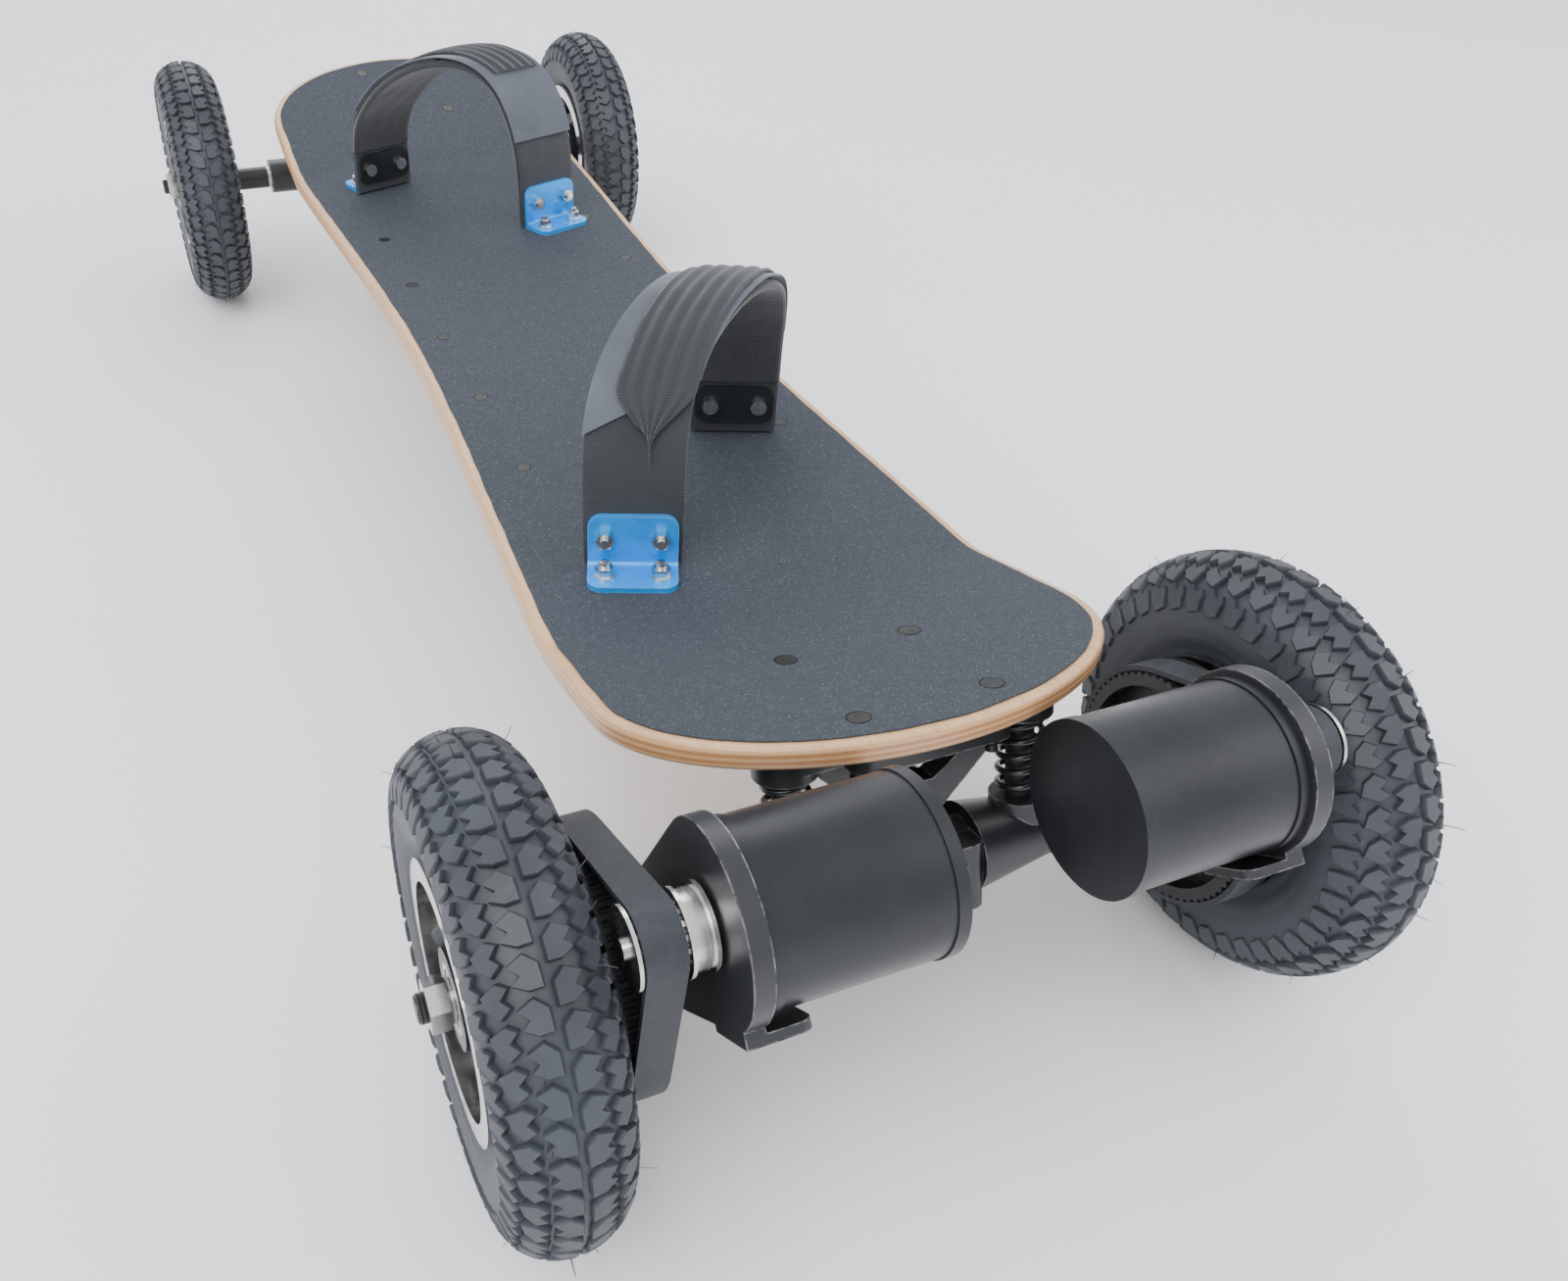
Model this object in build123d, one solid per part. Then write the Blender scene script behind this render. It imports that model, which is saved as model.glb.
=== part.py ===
"""Electric all-terrain skateboard: deck, sprung trucks, wheels, belt drives, foot straps and battery box."""
from build123d import *
import os
from math import acos, asin, cos, pi, radians, sin, sqrt, tan

os.makedirs("parts", exist_ok=True)

# Axes: +X to the rider's right, +Y to the front, +Z up, floor at Z = 0. The driven truck is at the back.

# Running gear
wheelbase = 930.0
track = 355.0
tyre_diameter = 200.0
tyre_width = 50.0
axle_diameter = 12.0
axle_end_past_tyre = 9.0

# Deck
deck_overhang = 15.0
deck_width = 234.0
deck_waist_width = 202.0
deck_thickness = 11.0
deck_top_height = 144.0
kick_angle = 16.0
kick_to_axle = 143.0
kick_radius = 80.0
end_curve_length = 85.0
grip_margin = 4.0
grip_thickness = 1.0

# Clearances
small_gap = 0.2
running_gap = 0.05
side_play = 0.1
moving_gap = 0.35
bolt_clearance = 0.25
nut_thread_gap = 0.1

# Trucks, measured from the underside of the kicked deck along its own slope
tube_radius = 14.0
tube_half_length = 120.0
pivot_above_axle = 28.0
baseplate_thickness = 9.0
baseplate_back = -26.0
baseplate_front = 56.0
baseplate_half_width = 36.0
ear_half_width = 42.0
ear_thickness = 11.0
ear_boss_radius = 11.5
ear_shoulder = 9.0
ear_point = 3.0
ear_web = 3.5
ear_window_half_width = 20.0
ear_window_top = 12.0
ear_window_bottom = 9.0
outer_ear_face = -6.0
lug_length = 24.0
pivot_bolt_diameter = 10.0
spring_offset = 55.0
spring_outer_radius = 10.5
spring_wire = 3.0
spring_turns = 5.5
spring_cup_height = 4.0
spring_cup_radius = 13.5
seat_rise = 5.0
damper_radius = 6.0
hanger_core_half_width = 27.0
hanger_core_wall = 5.0
hanger_core_corner = 6.0
hanger_pocket_half_width = 17.0
hanger_flare = 6.0
hanger_flare_start = 26.0
hanger_flare_length = 38.0
lug_radius = 15.0
pivot_washer_radius = 10.5
pivot_washer = 1.6
pivot_bolt_end = 9.0
pivot_head_height = 6.0
pivot_nut_height = 7.5
pivot_nut_width = 16.0
axle_nut_width = 19.0
axle_nut_height = 8.0
axle_washer_radius = 9.0
axle_washer_thickness = 2.0
deck_bolt_diameter = 5.0
deck_nut_width = 8.0
deck_nut_height = 5.0
deck_bolt_end = 9.0
deck_bolt_half_spacing = 30.0
deck_bolt_rows = (-16.0, 47.5)

# Wheels
rim_flange_radius = 55.0
rim_barrel_radius = 50.0
rim_half_width = 21.0
rim_lip = 2.0
bead_gap = 0.3
rim_disc = 10.0
hub_radius = 20.0
hub_half_width = 20.0
bearing_outer_radius = 14.0
bearing_width = 8.0
tyre_wall = 4.5
tube_wall = 2.0
valve_radius = 3.5
valve_bore_radius = 1.2
valve_length = 30.0
valve_lean = 42.0
rim_bolt_circle = 36.0
rim_bolt_count = 6
rim_bolt_diameter = 6.0
rim_bolt_head_radius = 5.0
rim_bolt_head_height = 5.5
rim_bolt_socket = 5.0
rim_nut_width = 10.0
rim_nut_height = 5.0
rim_window_radius = 6.5

# Belt drive
belt_pitch = 5.0
wheel_pulley_teeth = 68
motor_pulley_teeth = 16
belt_teeth = 80
belt_width = 15.0
belt_thickness = 2.4
pulley_face_width = 17.0
pulley_to_tyre = 6.0
pulley_flange = 1.4
plate_to_pulley = 11.5
tooth_land = 0.6
hub_flange_radius = 16.0
adapter_radius = 29.0
adapter_wall = 5.0
rotor_radius = 29.0
lip_width = 5.0
drive_elevation = 52.0
motor_radius = 35.0
motor_length = 74.0
motor_wall = 3.0
motor_plate_thickness = 8.0
motor_plate_margin = 2.5
clamp_radius = 24.0
shaft_radius = 4.0
foot_angle = 51.0
foot_length = 30.0
foot_reach = 17.0
foot_depth = 26.0
foot_thickness = 4.0

# Foot straps
strap_width = 50.0
strap_thickness = 5.0
strap_apex = 265.0
strap_turn = -21.0
strap_run = 139.0
strap_shift = 56.0
strap_lift = 1.5
strap_near_end = (-55.0, -280.0)
bracket_width = 44.0
bracket_base = 23.0
bracket_height = 30.0
bracket_thickness = 3.0
bracket_bolt_spacing = 27.0
bracket_bolt_diameter = 5.0
bracket_bolt_edge = 10.0
leg_bolt_height = 18.5
stud_head_height = 2.6
stud_end = 2.5
washer_thickness = 1.0
nut_height = 4.5
backing_thickness = 2.0
bracket_corner = 7.0
strap_nut_width = 8.0
washer_radius = 5.2

# Battery box
box_length = 384.0
box_width = 144.0
box_depth = 38.0
box_wall = 3.0
box_flange = 13.0
box_corner = 10.0
box_bolt_pitch = 86.0
box_bolts_per_side = 5
box_bolt_diameter = 4.0
box_nut_width = 7.0
box_nut_height = 4.0
cell_radius = 9.2
cell_length = 65.0
cells_per_row = 9
cell_end_gap = 12.0
controller_width = 100.0
controller_length = 110.0
controller_height = 18.0
controller_fin_pitch = 11.0
controller_fin_gap = 6.0
controller_fin_length = 90.0
controller_fin_depth = 8.0
button_radius = 7.0
button_travel = 1.5
button_stem_radius = 3.2
collar_wall = 3.5
collar_depth = 5.0
button_position = 15.0
socket_position = -45.0
socket_bore_radius = 4.0
socket_radius = 6.8
socket_lip_radius = 9.0
socket_depth = 14.0
lead_radius = 2.5

slope = radians(kick_angle)
half_base = wheelbase / 2
deck_length = wheelbase + 2 * deck_overhang
kick_start = half_base - kick_to_axle
half_track = track / 2
axle_height = tyre_diameter / 2
deck_underside = deck_top_height - deck_thickness
underside_knee = kick_start + deck_thickness * tan(slope / 2)
axle_drop = (half_base - underside_knee) * sin(slope) + (deck_underside - axle_height) * cos(slope)
pivot_drop = axle_drop - pivot_above_axle


def truck_plane(end):
    """Slope of the deck's underside over an axle: X across, Y inboard, Z up. end is -1 at the back."""
    origin = (0, end * (half_base - axle_drop * sin(slope)), axle_height + axle_drop * cos(slope))
    return Plane(origin=origin, x_dir=(-end, 0, 0), z_dir=(0, -end * sin(slope), cos(slope)))


def keep(name, *solids):
    """Write one node, made of one or more separate solids."""
    found = [s for item in solids for s in (item.solids() if hasattr(item, "solids") else [item])]
    shape = found[0] if len(found) == 1 else Compound(children=found)
    shape.label = name
    export_step(shape, f"parts/{name}.step")


def rod(radius, start, end, direction="Z", at=(0, 0)):
    """A plain cylinder from start to end along an axis, centred on at in the other two."""
    body = Pos(0, 0, start) * Cylinder(radius, end - start, align=(Align.CENTER, Align.CENTER, Align.MIN))
    if direction == "X":
        return Pos(0, at[0], at[1]) * (Rot(0, 90, 0) * body)
    if direction == "Y":
        return Pos(at[0], 0, at[1]) * (Rot(-90, 0, 0) * body)
    return Pos(at[0], at[1], 0) * body


def ring(outer, inner, start, end):
    return rod(outer, start, end) - rod(inner, start - 1, end + 1)


def hexagon(across_flats, start, end, bore=0.0):
    shape = Pos(0, 0, start) * extrude(RegularPolygon(across_flats / 2, 6, major_radius=False), end - start)
    return shape - rod(bore, start - 1, end + 1) if bore else shape


def turned(points):
    """A solid of revolution about Z from (radius, height) points."""
    section = make_face(Polyline(*[(r, 0, z) for r, z in points], close=True))
    return revolve(section, Axis.Z)


def block(x0, x1, y0, y1, z0, z1):
    return Pos((x0 + x1) / 2, (y0 + y1) / 2, (z0 + z1) / 2) * Box(x1 - x0, y1 - y0, z1 - z0)


# ---------------------------------------------------------------- deck

def deck_outline(margin):
    """Hourglass outline with rounded ends, drawn in from the deck's edge by margin."""
    wide = deck_width / 2 - margin
    waist = deck_waist_width / 2 - margin
    bend = deck_length / 2 - end_curve_length
    cap = end_curve_length - margin
    right = Spline((wide, -bend), (waist, 0), (wide, bend), tangents=((0, 1), (0, 1)))
    left = Spline((-wide, bend), (-waist, 0), (-wide, -bend), tangents=((0, -1), (0, -1)))
    front = EllipticalCenterArc((0, bend), wide, cap, 0, arc_size=180)
    back = EllipticalCenterArc((0, -bend), wide, cap, 180, arc_size=180)
    return make_face(Wire([right, front, left, back]))


def sheet_between(lower, upper, margin):
    """A curved board between two heights above the deck's underside, cut to the outline."""
    reach = deck_length / 2 + 20

    def line_at(offset):
        knee = underside_knee - offset * tan(slope / 2)
        height = deck_underside + offset
        rise = (reach - knee) * tan(slope)
        radius = kick_radius + deck_thickness - offset
        points = [(-reach, height + rise), (-knee, height), (knee, height), (reach, height + rise)]
        return FilletPolyline(*points, radius=radius)

    low = line_at(lower)
    high = line_at(upper)
    sides = [Line(low @ 0, high @ 0), Line(low @ 1, high @ 1)]
    profile = make_face(Plane.YZ * Wire([*low.edges(), sides[0], *high.edges(), sides[1]]))
    board = extrude(profile, deck_width, both=True)
    return board & extrude(deck_outline(margin), 400)


def countersunk(diameter, head_top, length):
    """A flat-headed bolt hanging down from head_top."""
    head = diameter * 0.95
    sink = diameter * 0.6
    return turned([(0, head_top), (head, head_top), (diameter / 2, head_top - sink),
                   (diameter / 2, head_top - length), (0, head_top - length)])


def sunk_hole(diameter, head_top, length):
    head = diameter * 0.95 + bolt_clearance
    shank = diameter / 2 + bolt_clearance
    sink = diameter * 0.6
    return turned([(0, head_top + 0.5), (head, head_top + 0.5), (head, head_top), (shank, head_top - sink),
                   (shank, head_top - length), (0, head_top - length)])


skin = deck_thickness + grip_thickness
truck_bolt_places = [(x, y) for x in (-deck_bolt_half_spacing, deck_bolt_half_spacing) for y in deck_bolt_rows]
truck_bolt_length = skin + baseplate_thickness + deck_bolt_end
box_bolt_x = box_width / 2 + box_flange / 2 - 1
box_bolt_places = [(side * box_bolt_x, (i - (box_bolts_per_side - 1) / 2) * box_bolt_pitch)
                   for side in (-1, 1) for i in range(box_bolts_per_side)]
box_bolt_length = skin + box_wall + box_nut_height + 2

holes = []
for end in (-1, 1):
    for x, y in truck_bolt_places:
        holes.append(truck_plane(end).location * Pos(x, y, 0) * sunk_hole(deck_bolt_diameter, skin, skin + 30))
for x, y in box_bolt_places:
    holes.append(Pos(x, y, deck_underside) * sunk_hole(box_bolt_diameter, skin, skin + 20))

bracket_direction = radians(strap_turn)
across = Vector(cos(bracket_direction), sin(bracket_direction), 0)
along = Vector(-sin(bracket_direction), cos(bracket_direction), 0)
deck_surface = deck_top_height + grip_thickness


def strap_ends(end):
    """The two feet of one strap, as planes: X across the strap, Y away from the foot, Z up."""
    first = Vector(strap_near_end[0], strap_near_end[1], 0)
    second = first + along * strap_run + across * strap_shift
    planes = []
    for foot, sign in ((first, -1), (second, 1)):
        away = along * sign
        origin = (foot.X, -end * foot.Y, deck_surface)
        planes.append(Plane(origin=origin, x_dir=(-end * away.Y, -away.X, 0), z_dir=(0, 0, 1)))
    return planes


bracket_bolt_y = bracket_base - bracket_bolt_edge
stud_head_radius = bracket_bolt_diameter * 0.9
strap_planes = [plane for end in (-1, 1) for plane in strap_ends(end)]
for plane in strap_planes:
    for x in (-bracket_bolt_spacing / 2, bracket_bolt_spacing / 2):
        place = plane.location * Pos(x, bracket_bolt_y, 0)
        holes.append(place * rod(bracket_bolt_diameter / 2 + bolt_clearance, -skin - 1, 1))
        head_hole = stud_head_radius + bolt_clearance
        holes.append(place * rod(head_hole, -skin - 1, -skin + stud_head_height + small_gap))

deck = sheet_between(0, deck_thickness, 0)
grip_tape = sheet_between(deck_thickness, skin, grip_margin)
for hole in holes:
    deck -= hole
    grip_tape -= hole
keep("deck", deck)
keep("grip_tape", grip_tape)

# ---------------------------------------------------------------- foot straps

bracket_profile = [(0, 0), (bracket_base, 0), (bracket_base, bracket_thickness),
                   (bracket_thickness, bracket_thickness), (bracket_thickness, bracket_height),
                   (0, bracket_height)]
brackets = []
strap_hardware = []
for plane in strap_planes:
    section = make_face(Plane.YZ * Polyline(*bracket_profile, close=True))
    bracket = extrude(section, bracket_width / 2, both=True)
    inner = bracket.edges().filter_by(Axis.X).sort_by_distance((0, bracket_thickness, bracket_thickness))[0]
    bracket = fillet([inner], bracket_thickness)
    corners = [e for e in bracket.edges().filter_by(Axis.Z) if e.center().Y > bracket_base - 1]
    corners += [e for e in bracket.edges().filter_by(Axis.Y) if e.center().Z > bracket_height - 1]
    bracket = fillet(corners, bracket_corner)
    for x in (-bracket_bolt_spacing / 2, bracket_bolt_spacing / 2):
        radius = bracket_bolt_diameter / 2
        bracket -= rod(radius + bolt_clearance, -5, 10, at=(x, bracket_bolt_y))
        bracket -= rod(radius + bolt_clearance, -5, 10, "Y", at=(x, leg_bolt_height))
        washer_top = bracket_thickness + washer_thickness
        stud = rod(radius, -skin, washer_top + nut_height + stud_end, at=(x, bracket_bolt_y))
        stud += rod(stud_head_radius, -skin, -skin + stud_head_height, at=(x, bracket_bolt_y))
        nut = Pos(x, bracket_bolt_y, 0) * hexagon(
            strap_nut_width, washer_top, washer_top + nut_height, radius + nut_thread_gap)
        washer = Pos(x, bracket_bolt_y, 0) * ring(
            washer_radius, radius + nut_thread_gap, bracket_thickness, washer_top)
        inside = -strap_thickness - backing_thickness
        leg_bolt = rod(radius, inside, bracket_thickness + nut_height + stud_end, "Y", at=(x, leg_bolt_height))
        leg_bolt += rod(stud_head_radius, inside - stud_head_height, inside, "Y", at=(x, leg_bolt_height))
        leg_nut = Pos(x, 0, leg_bolt_height) * (Rot(-90, 0, 0) * hexagon(
            strap_nut_width, bracket_thickness, bracket_thickness + nut_height, radius + nut_thread_gap))
        strap_hardware += [plane.location * s for s in (stud, nut, washer, leg_bolt, leg_nut)]
    backing = block(-bracket_width / 2, bracket_width / 2, inside, -strap_thickness, 8, bracket_height)
    backing = fillet(backing.edges().filter_by(Axis.Y), bracket_corner)
    for x in (-bracket_bolt_spacing / 2, bracket_bolt_spacing / 2):
        backing -= rod(bracket_bolt_diameter / 2 + bolt_clearance, inside - 5, 5, "Y", at=(x, leg_bolt_height))
    strap_hardware.append(plane.location * backing)
    brackets.append(plane.location * bracket)
keep("strap_brackets", *brackets)
keep("strap_fasteners", *strap_hardware)


def strap(end, sections=14):
    """A padded band: a straight leg inside each bracket, and an arch between them across the foot."""
    leg_top = bracket_height + 2
    first = Vector(strap_near_end[0], strap_near_end[1], 0) + along * (strap_thickness / 2)
    run = strap_run - strap_thickness
    rise = strap_apex - deck_surface - leg_top - strap_thickness / 2
    faces = []
    for i in range(sections + 1):
        turn = pi * i / sections
        part = (1 - cos(turn)) / 2
        ease = part * part * (3 - 2 * part)
        centre = first + along * (run * part) + across * (strap_shift * ease)
        tangent = along * (run / 2 * sin(turn)) + Vector(0, 0, rise * cos(turn))
        plane = Plane(origin=(centre.X, -end * centre.Y, deck_surface + leg_top + rise * sin(turn)),
                      x_dir=(across.X, -end * across.Y, 0), z_dir=(tangent.X, -end * tangent.Y, tangent.Z))
        faces.append(plane * Rectangle(strap_width, strap_thickness))
    band = loft(Sketch() + faces, ruled=False)
    for plane in strap_ends(end):
        leg = block(-strap_width / 2, strap_width / 2, -strap_thickness, 0, strap_lift, leg_top)
        band += plane.location * leg
        for x in (-bracket_bolt_spacing / 2, bracket_bolt_spacing / 2):
            radius = bracket_bolt_diameter / 2 + bolt_clearance
            band -= plane.location * rod(radius, -14, 4, "Y", at=(x, leg_bolt_height))
    return band


keep("strap_rear", strap(-1))
keep("strap_front", strap(1))

# ---------------------------------------------------------------- battery box

box_top = deck_underside
box_bottom = box_top - box_depth
case = block(-box_width / 2, box_width / 2, -box_length / 2, box_length / 2, box_bottom, box_top)
case = fillet(case.edges().filter_by(Axis.Z), box_corner)
case = fillet(case.faces().sort_by(Axis.Z)[0].edges(), box_wall)
inner_x = box_width / 2 - box_wall
inner_y = box_length / 2 - box_wall
cavity = block(-inner_x, inner_x, -inner_y, inner_y, box_bottom + box_wall, box_top + 5)
cavity = fillet(cavity.edges().filter_by(Axis.Z), box_corner - box_wall)
flange_x = box_width / 2 + box_flange
flange = block(-flange_x, flange_x, -box_length / 2, box_length / 2, box_top - box_wall, box_top)
flange = fillet(flange.edges().filter_by(Axis.Z), box_corner)
case = case + flange - cavity
for x, y in box_bolt_places:
    case -= rod(box_bolt_diameter / 2 + bolt_clearance, box_top - 10, box_top + 5, at=(x, y))
control_height = box_top - box_depth * 0.45
wall_outside = -box_width / 2
collar_bore = button_radius + running_gap
button_at = (button_position, control_height)
collar_radius = button_radius + collar_wall
case += rod(collar_radius, wall_outside - collar_depth, wall_outside + collar_depth, "X", at=button_at)
case -= rod(collar_bore, wall_outside - 9, wall_outside + 2, "X", at=button_at)
case -= rod(button_stem_radius + running_gap, wall_outside, wall_outside + 20, "X", at=button_at)
socket_at = (socket_position, control_height)
case -= rod(socket_radius + small_gap, wall_outside - 5, wall_outside + 5, "X", at=socket_at)
lead_exit_x = 30.0
lead_exit_height = box_top - box_depth * 0.5
for x in (-lead_exit_x, lead_exit_x):
    case -= rod(lead_radius + 1.5, -box_length / 2 - 5, -box_length / 2 + 8, "Y", at=(x, lead_exit_height))
keep("battery_case", case)

bolts = []
for x, y in box_bolt_places:
    bolts.append(Pos(x, y, deck_underside) * countersunk(box_bolt_diameter, skin, box_bolt_length))
    bolts.append(Pos(x, y, box_top - box_wall) * hexagon(
        box_nut_width, -box_nut_height, 0, box_bolt_diameter / 2 + nut_thread_gap))
keep("battery_case_bolts", *bolts)

floor = box_bottom + box_wall
cells = []
pack_start = inner_y - cell_end_gap - cell_radius
for row in range(cells_per_row):
    y = pack_start - row * (2 * cell_radius + small_gap)
    for side in (-1, 1):
        x0, x1 = sorted((side * 0.3, side * (cell_length + 0.3)))
        cells.append(rod(cell_radius, x0, x1, "X", at=(y, floor + cell_radius + small_gap)))
keep("battery_cells", *cells)

controller_front = pack_start - cells_per_row * (2 * cell_radius + small_gap)
controller_top = floor + controller_height
controller_back = controller_front - controller_length
controller = block(-controller_width / 2, controller_width / 2, controller_back, controller_front,
                   floor, controller_top)
for i in range(1, round(controller_length / controller_fin_pitch)):
    y = controller_front - i * controller_fin_pitch
    controller -= block(-controller_fin_length / 2, controller_fin_length / 2, y - controller_fin_gap / 2,
                        y + controller_fin_gap / 2, controller_top - controller_fin_depth, controller_top + 1)
keep("motor_controller", controller)

button_face = wall_outside - 10
button = rod(button_radius, button_face, wall_outside - button_travel, "X") + rod(
    button_stem_radius, wall_outside - 3, wall_outside + collar_depth - 0.5, "X")
keep("power_button", Pos(0, button_position, control_height) * button)

socket = rod(socket_lip_radius, wall_outside - 4, wall_outside, "X")
socket += rod(socket_radius, wall_outside - 1, wall_outside + socket_depth, "X")
socket -= rod(socket_bore_radius, wall_outside - 9, wall_outside + 10, "X")
keep("charge_socket", Pos(0, socket_position, control_height) * socket)

# ---------------------------------------------------------------- trucks

ear_rows = ((outer_ear_face, outer_ear_face + ear_thickness),
            (outer_ear_face + ear_thickness + lug_length + 2 * moving_gap,
             outer_ear_face + 2 * ear_thickness + lug_length + 2 * moving_gap))
lug_start = ear_rows[0][1] + moving_gap
lug_end = lug_start + lug_length
pivot_radius = pivot_bolt_diameter / 2


def ear(start, end):
    """Tapered cheek with a six-sided window above the pivot boss."""
    top = -baseplate_thickness + 1
    low = -pivot_drop
    outline = Polyline((-ear_half_width, top), (ear_half_width, top), (ear_half_width, top - ear_shoulder),
                       (ear_boss_radius, low - ear_point), (-ear_boss_radius, low - ear_point),
                       (-ear_half_width, top - ear_shoulder), close=True)
    cheek = Pos(0, start, 0) * (Plane.XZ.location * extrude(make_face(outline), -(end - start)))
    cheek += rod(ear_boss_radius, start, end, "Y", at=(0, low))
    middle = (top - baseplate_thickness / 2 + low + ear_boss_radius) / 2
    half = (top - low - ear_boss_radius) / 2 - ear_web
    wide, over, under = ear_window_half_width, ear_window_top, ear_window_bottom
    window = Polyline((-wide, middle), (-over, middle + half), (over, middle + half), (wide, middle),
                      (under, middle - half), (-under, middle - half), close=True)
    cheek -= Pos(0, start - 1, 0) * (Plane.XZ.location * extrude(make_face(window), -(end - start + 2)))
    return cheek - rod(pivot_radius + small_gap, start - 1, end + 1, "Y", at=(0, low))


wing = spring_offset + spring_cup_radius
baseplate = block(-baseplate_half_width, baseplate_half_width, baseplate_back, baseplate_front,
                  -baseplate_thickness, 0)
baseplate = fillet(baseplate.edges().filter_by(Axis.Z), 8)
for side in (-1, 1):
    x0, x1 = sorted((0, side * spring_offset))
    baseplate += block(x0, x1, -spring_cup_radius, spring_cup_radius, -baseplate_thickness, 0)
    cup = Pos(side * spring_offset, 0, 0)
    cup_rim = -baseplate_thickness - spring_cup_height
    baseplate += cup * rod(spring_cup_radius, cup_rim, 0)
    baseplate -= cup * rod(spring_outer_radius + 3 * small_gap, cup_rim - 1, -baseplate_thickness)
for start, end in ear_rows:
    baseplate += ear(start, end)
for x, y in truck_bolt_places:
    baseplate -= rod(deck_bolt_diameter / 2 + bolt_clearance, -30, 5, at=(x, y))

seat_height = -axle_drop + tube_radius + seat_rise
spring_top = -baseplate_thickness
spring_length = spring_top - seat_height


def coil(x):
    """Compression spring standing on the hanger's seat."""
    radius = spring_outer_radius - spring_wire / 2
    height = spring_length - spring_wire - 2 * small_gap
    path = Helix(pitch=height / spring_turns, height=height, radius=radius)
    section = Plane(origin=path @ 0, x_dir=(0, 0, 1), z_dir=path % 0) * Circle(spring_wire / 2)
    return Pos(x, 0, seat_height + spring_wire / 2 + small_gap) * sweep(section, path=path)


hanger = rod(tube_radius, -tube_half_length, tube_half_length, "X", at=(0, -axle_drop))
for side in (-1, 1):
    flare = Pos(0, 0, hanger_flare_start + hanger_flare_length / 2) * Cone(
        tube_radius + hanger_flare, tube_radius, hanger_flare_length)
    hanger += Pos(0, 0, -axle_drop) * (Rot(0, side * 90, 0) * flare)
    hanger += rod(spring_cup_radius - 0.5, -axle_drop, seat_height, at=(side * spring_offset, 0))
core_back = -tube_radius - hanger_core_wall
core = block(-hanger_core_half_width, hanger_core_half_width, core_back, lug_end,
             -axle_drop - tube_radius - hanger_core_wall, -axle_drop + tube_radius - 2)
core = fillet(core.edges().filter_by(Axis.Z), hanger_core_corner)
for y in (core_back, lug_end):
    pocket = block(-hanger_pocket_half_width, hanger_pocket_half_width, y - hanger_core_wall,
                   y + hanger_core_wall, -axle_drop - tube_radius + 1, -axle_drop + tube_radius - 9)
    core -= pocket
lug = block(-lug_radius, lug_radius, lug_start, lug_end, -axle_drop, -pivot_drop)
lug += rod(lug_radius, lug_start, lug_end, "Y", at=(0, -pivot_drop))
clear_ear = rod(ear_boss_radius + 1.5, -tube_radius - 30, lug_start, "Y", at=(0, -pivot_drop))
hanger = hanger + core + lug - clear_ear
hanger -= rod(pivot_radius + running_gap, -60, 80, "Y", at=(0, -pivot_drop))
hanger -= rod(axle_diameter / 2, -tube_half_length - 5, tube_half_length + 5, "X", at=(0, -axle_drop))

pivot_start = ear_rows[0][0]
pivot_end = ear_rows[1][1]
pivot_thread = pivot_radius + nut_thread_gap
head_face = pivot_start - pivot_washer
nut_face = pivot_end + pivot_washer
pivot_bolt = rod(pivot_radius, head_face, nut_face + pivot_bolt_end)
pivot_bolt += hexagon(pivot_nut_width, head_face - pivot_head_height, head_face)
pivot_parts = [pivot_bolt, ring(pivot_washer_radius, pivot_thread, head_face, pivot_start),
               ring(pivot_washer_radius, pivot_thread, pivot_end, nut_face),
               hexagon(pivot_nut_width, nut_face, nut_face + pivot_nut_height, pivot_thread)]
pivot_parts = [Pos(0, 0, -pivot_drop) * (Rot(-90, 0, 0) * s) for s in pivot_parts]

truck_bolts = []
for x, y in truck_bolt_places:
    truck_bolts.append(Pos(x, y, 0) * countersunk(deck_bolt_diameter, skin, truck_bolt_length))
    truck_bolts.append(Pos(x, y, 0) * hexagon(
        deck_nut_width, -baseplate_thickness - deck_nut_height, -baseplate_thickness,
        deck_bolt_diameter / 2 + nut_thread_gap))

axle_reach = half_track + tyre_width / 2 + axle_end_past_tyre
bearing_face = half_track + hub_half_width
spacer_end = half_track - hub_half_width
axle_radius = axle_diameter / 2
axle = rod(axle_radius, -axle_reach, axle_reach, "X")
axle = chamfer(axle.edges().filter_by(GeomType.CIRCLE), 1)
axle_nuts = []
for side in (-1, 1):
    washer_face = bearing_face + side_play
    axle_nut_face = washer_face + axle_washer_thickness
    axle_nut_end = axle_nut_face + axle_nut_height
    stack = [ring(axle_washer_radius, axle_radius + running_gap, tube_half_length, spacer_end - side_play),
             ring(axle_washer_radius, axle_radius + running_gap, washer_face, axle_nut_face),
             hexagon(axle_nut_width, axle_nut_face, axle_nut_end, axle_radius + nut_thread_gap)]
    axle_nuts += [Rot(0, side * 90, 0) * s for s in stack]

for name, end in (("rear", -1), ("front", 1)):
    place = truck_plane(end).location
    keep(f"{name}_baseplate", place * baseplate)
    keep(f"{name}_hanger", place * hanger)
    keep(f"{name}_pivot_bolt", *[place * s for s in pivot_parts])
    keep(f"{name}_truck_bolts", *[place * s for s in truck_bolts])
    keep(f"{name}_springs", *[place * coil(x) for x in (-spring_offset, spring_offset)])
    dampers = [rod(damper_radius, seat_height + small_gap, spring_top - small_gap, at=(x, 0))
               for x in (-spring_offset, spring_offset)]
    keep(f"{name}_dampers", *[place * damper for damper in dampers])
    axle_place = Pos(0, end * half_base, axle_height)
    keep(f"{name}_axle", axle_place * axle)
    keep(f"{name}_axle_nuts", *[axle_place * s for s in axle_nuts])

# ---------------------------------------------------------------- wheels, built with their outer face up

tyre_centre = (tyre_diameter / 2 + rim_barrel_radius) / 2


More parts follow.
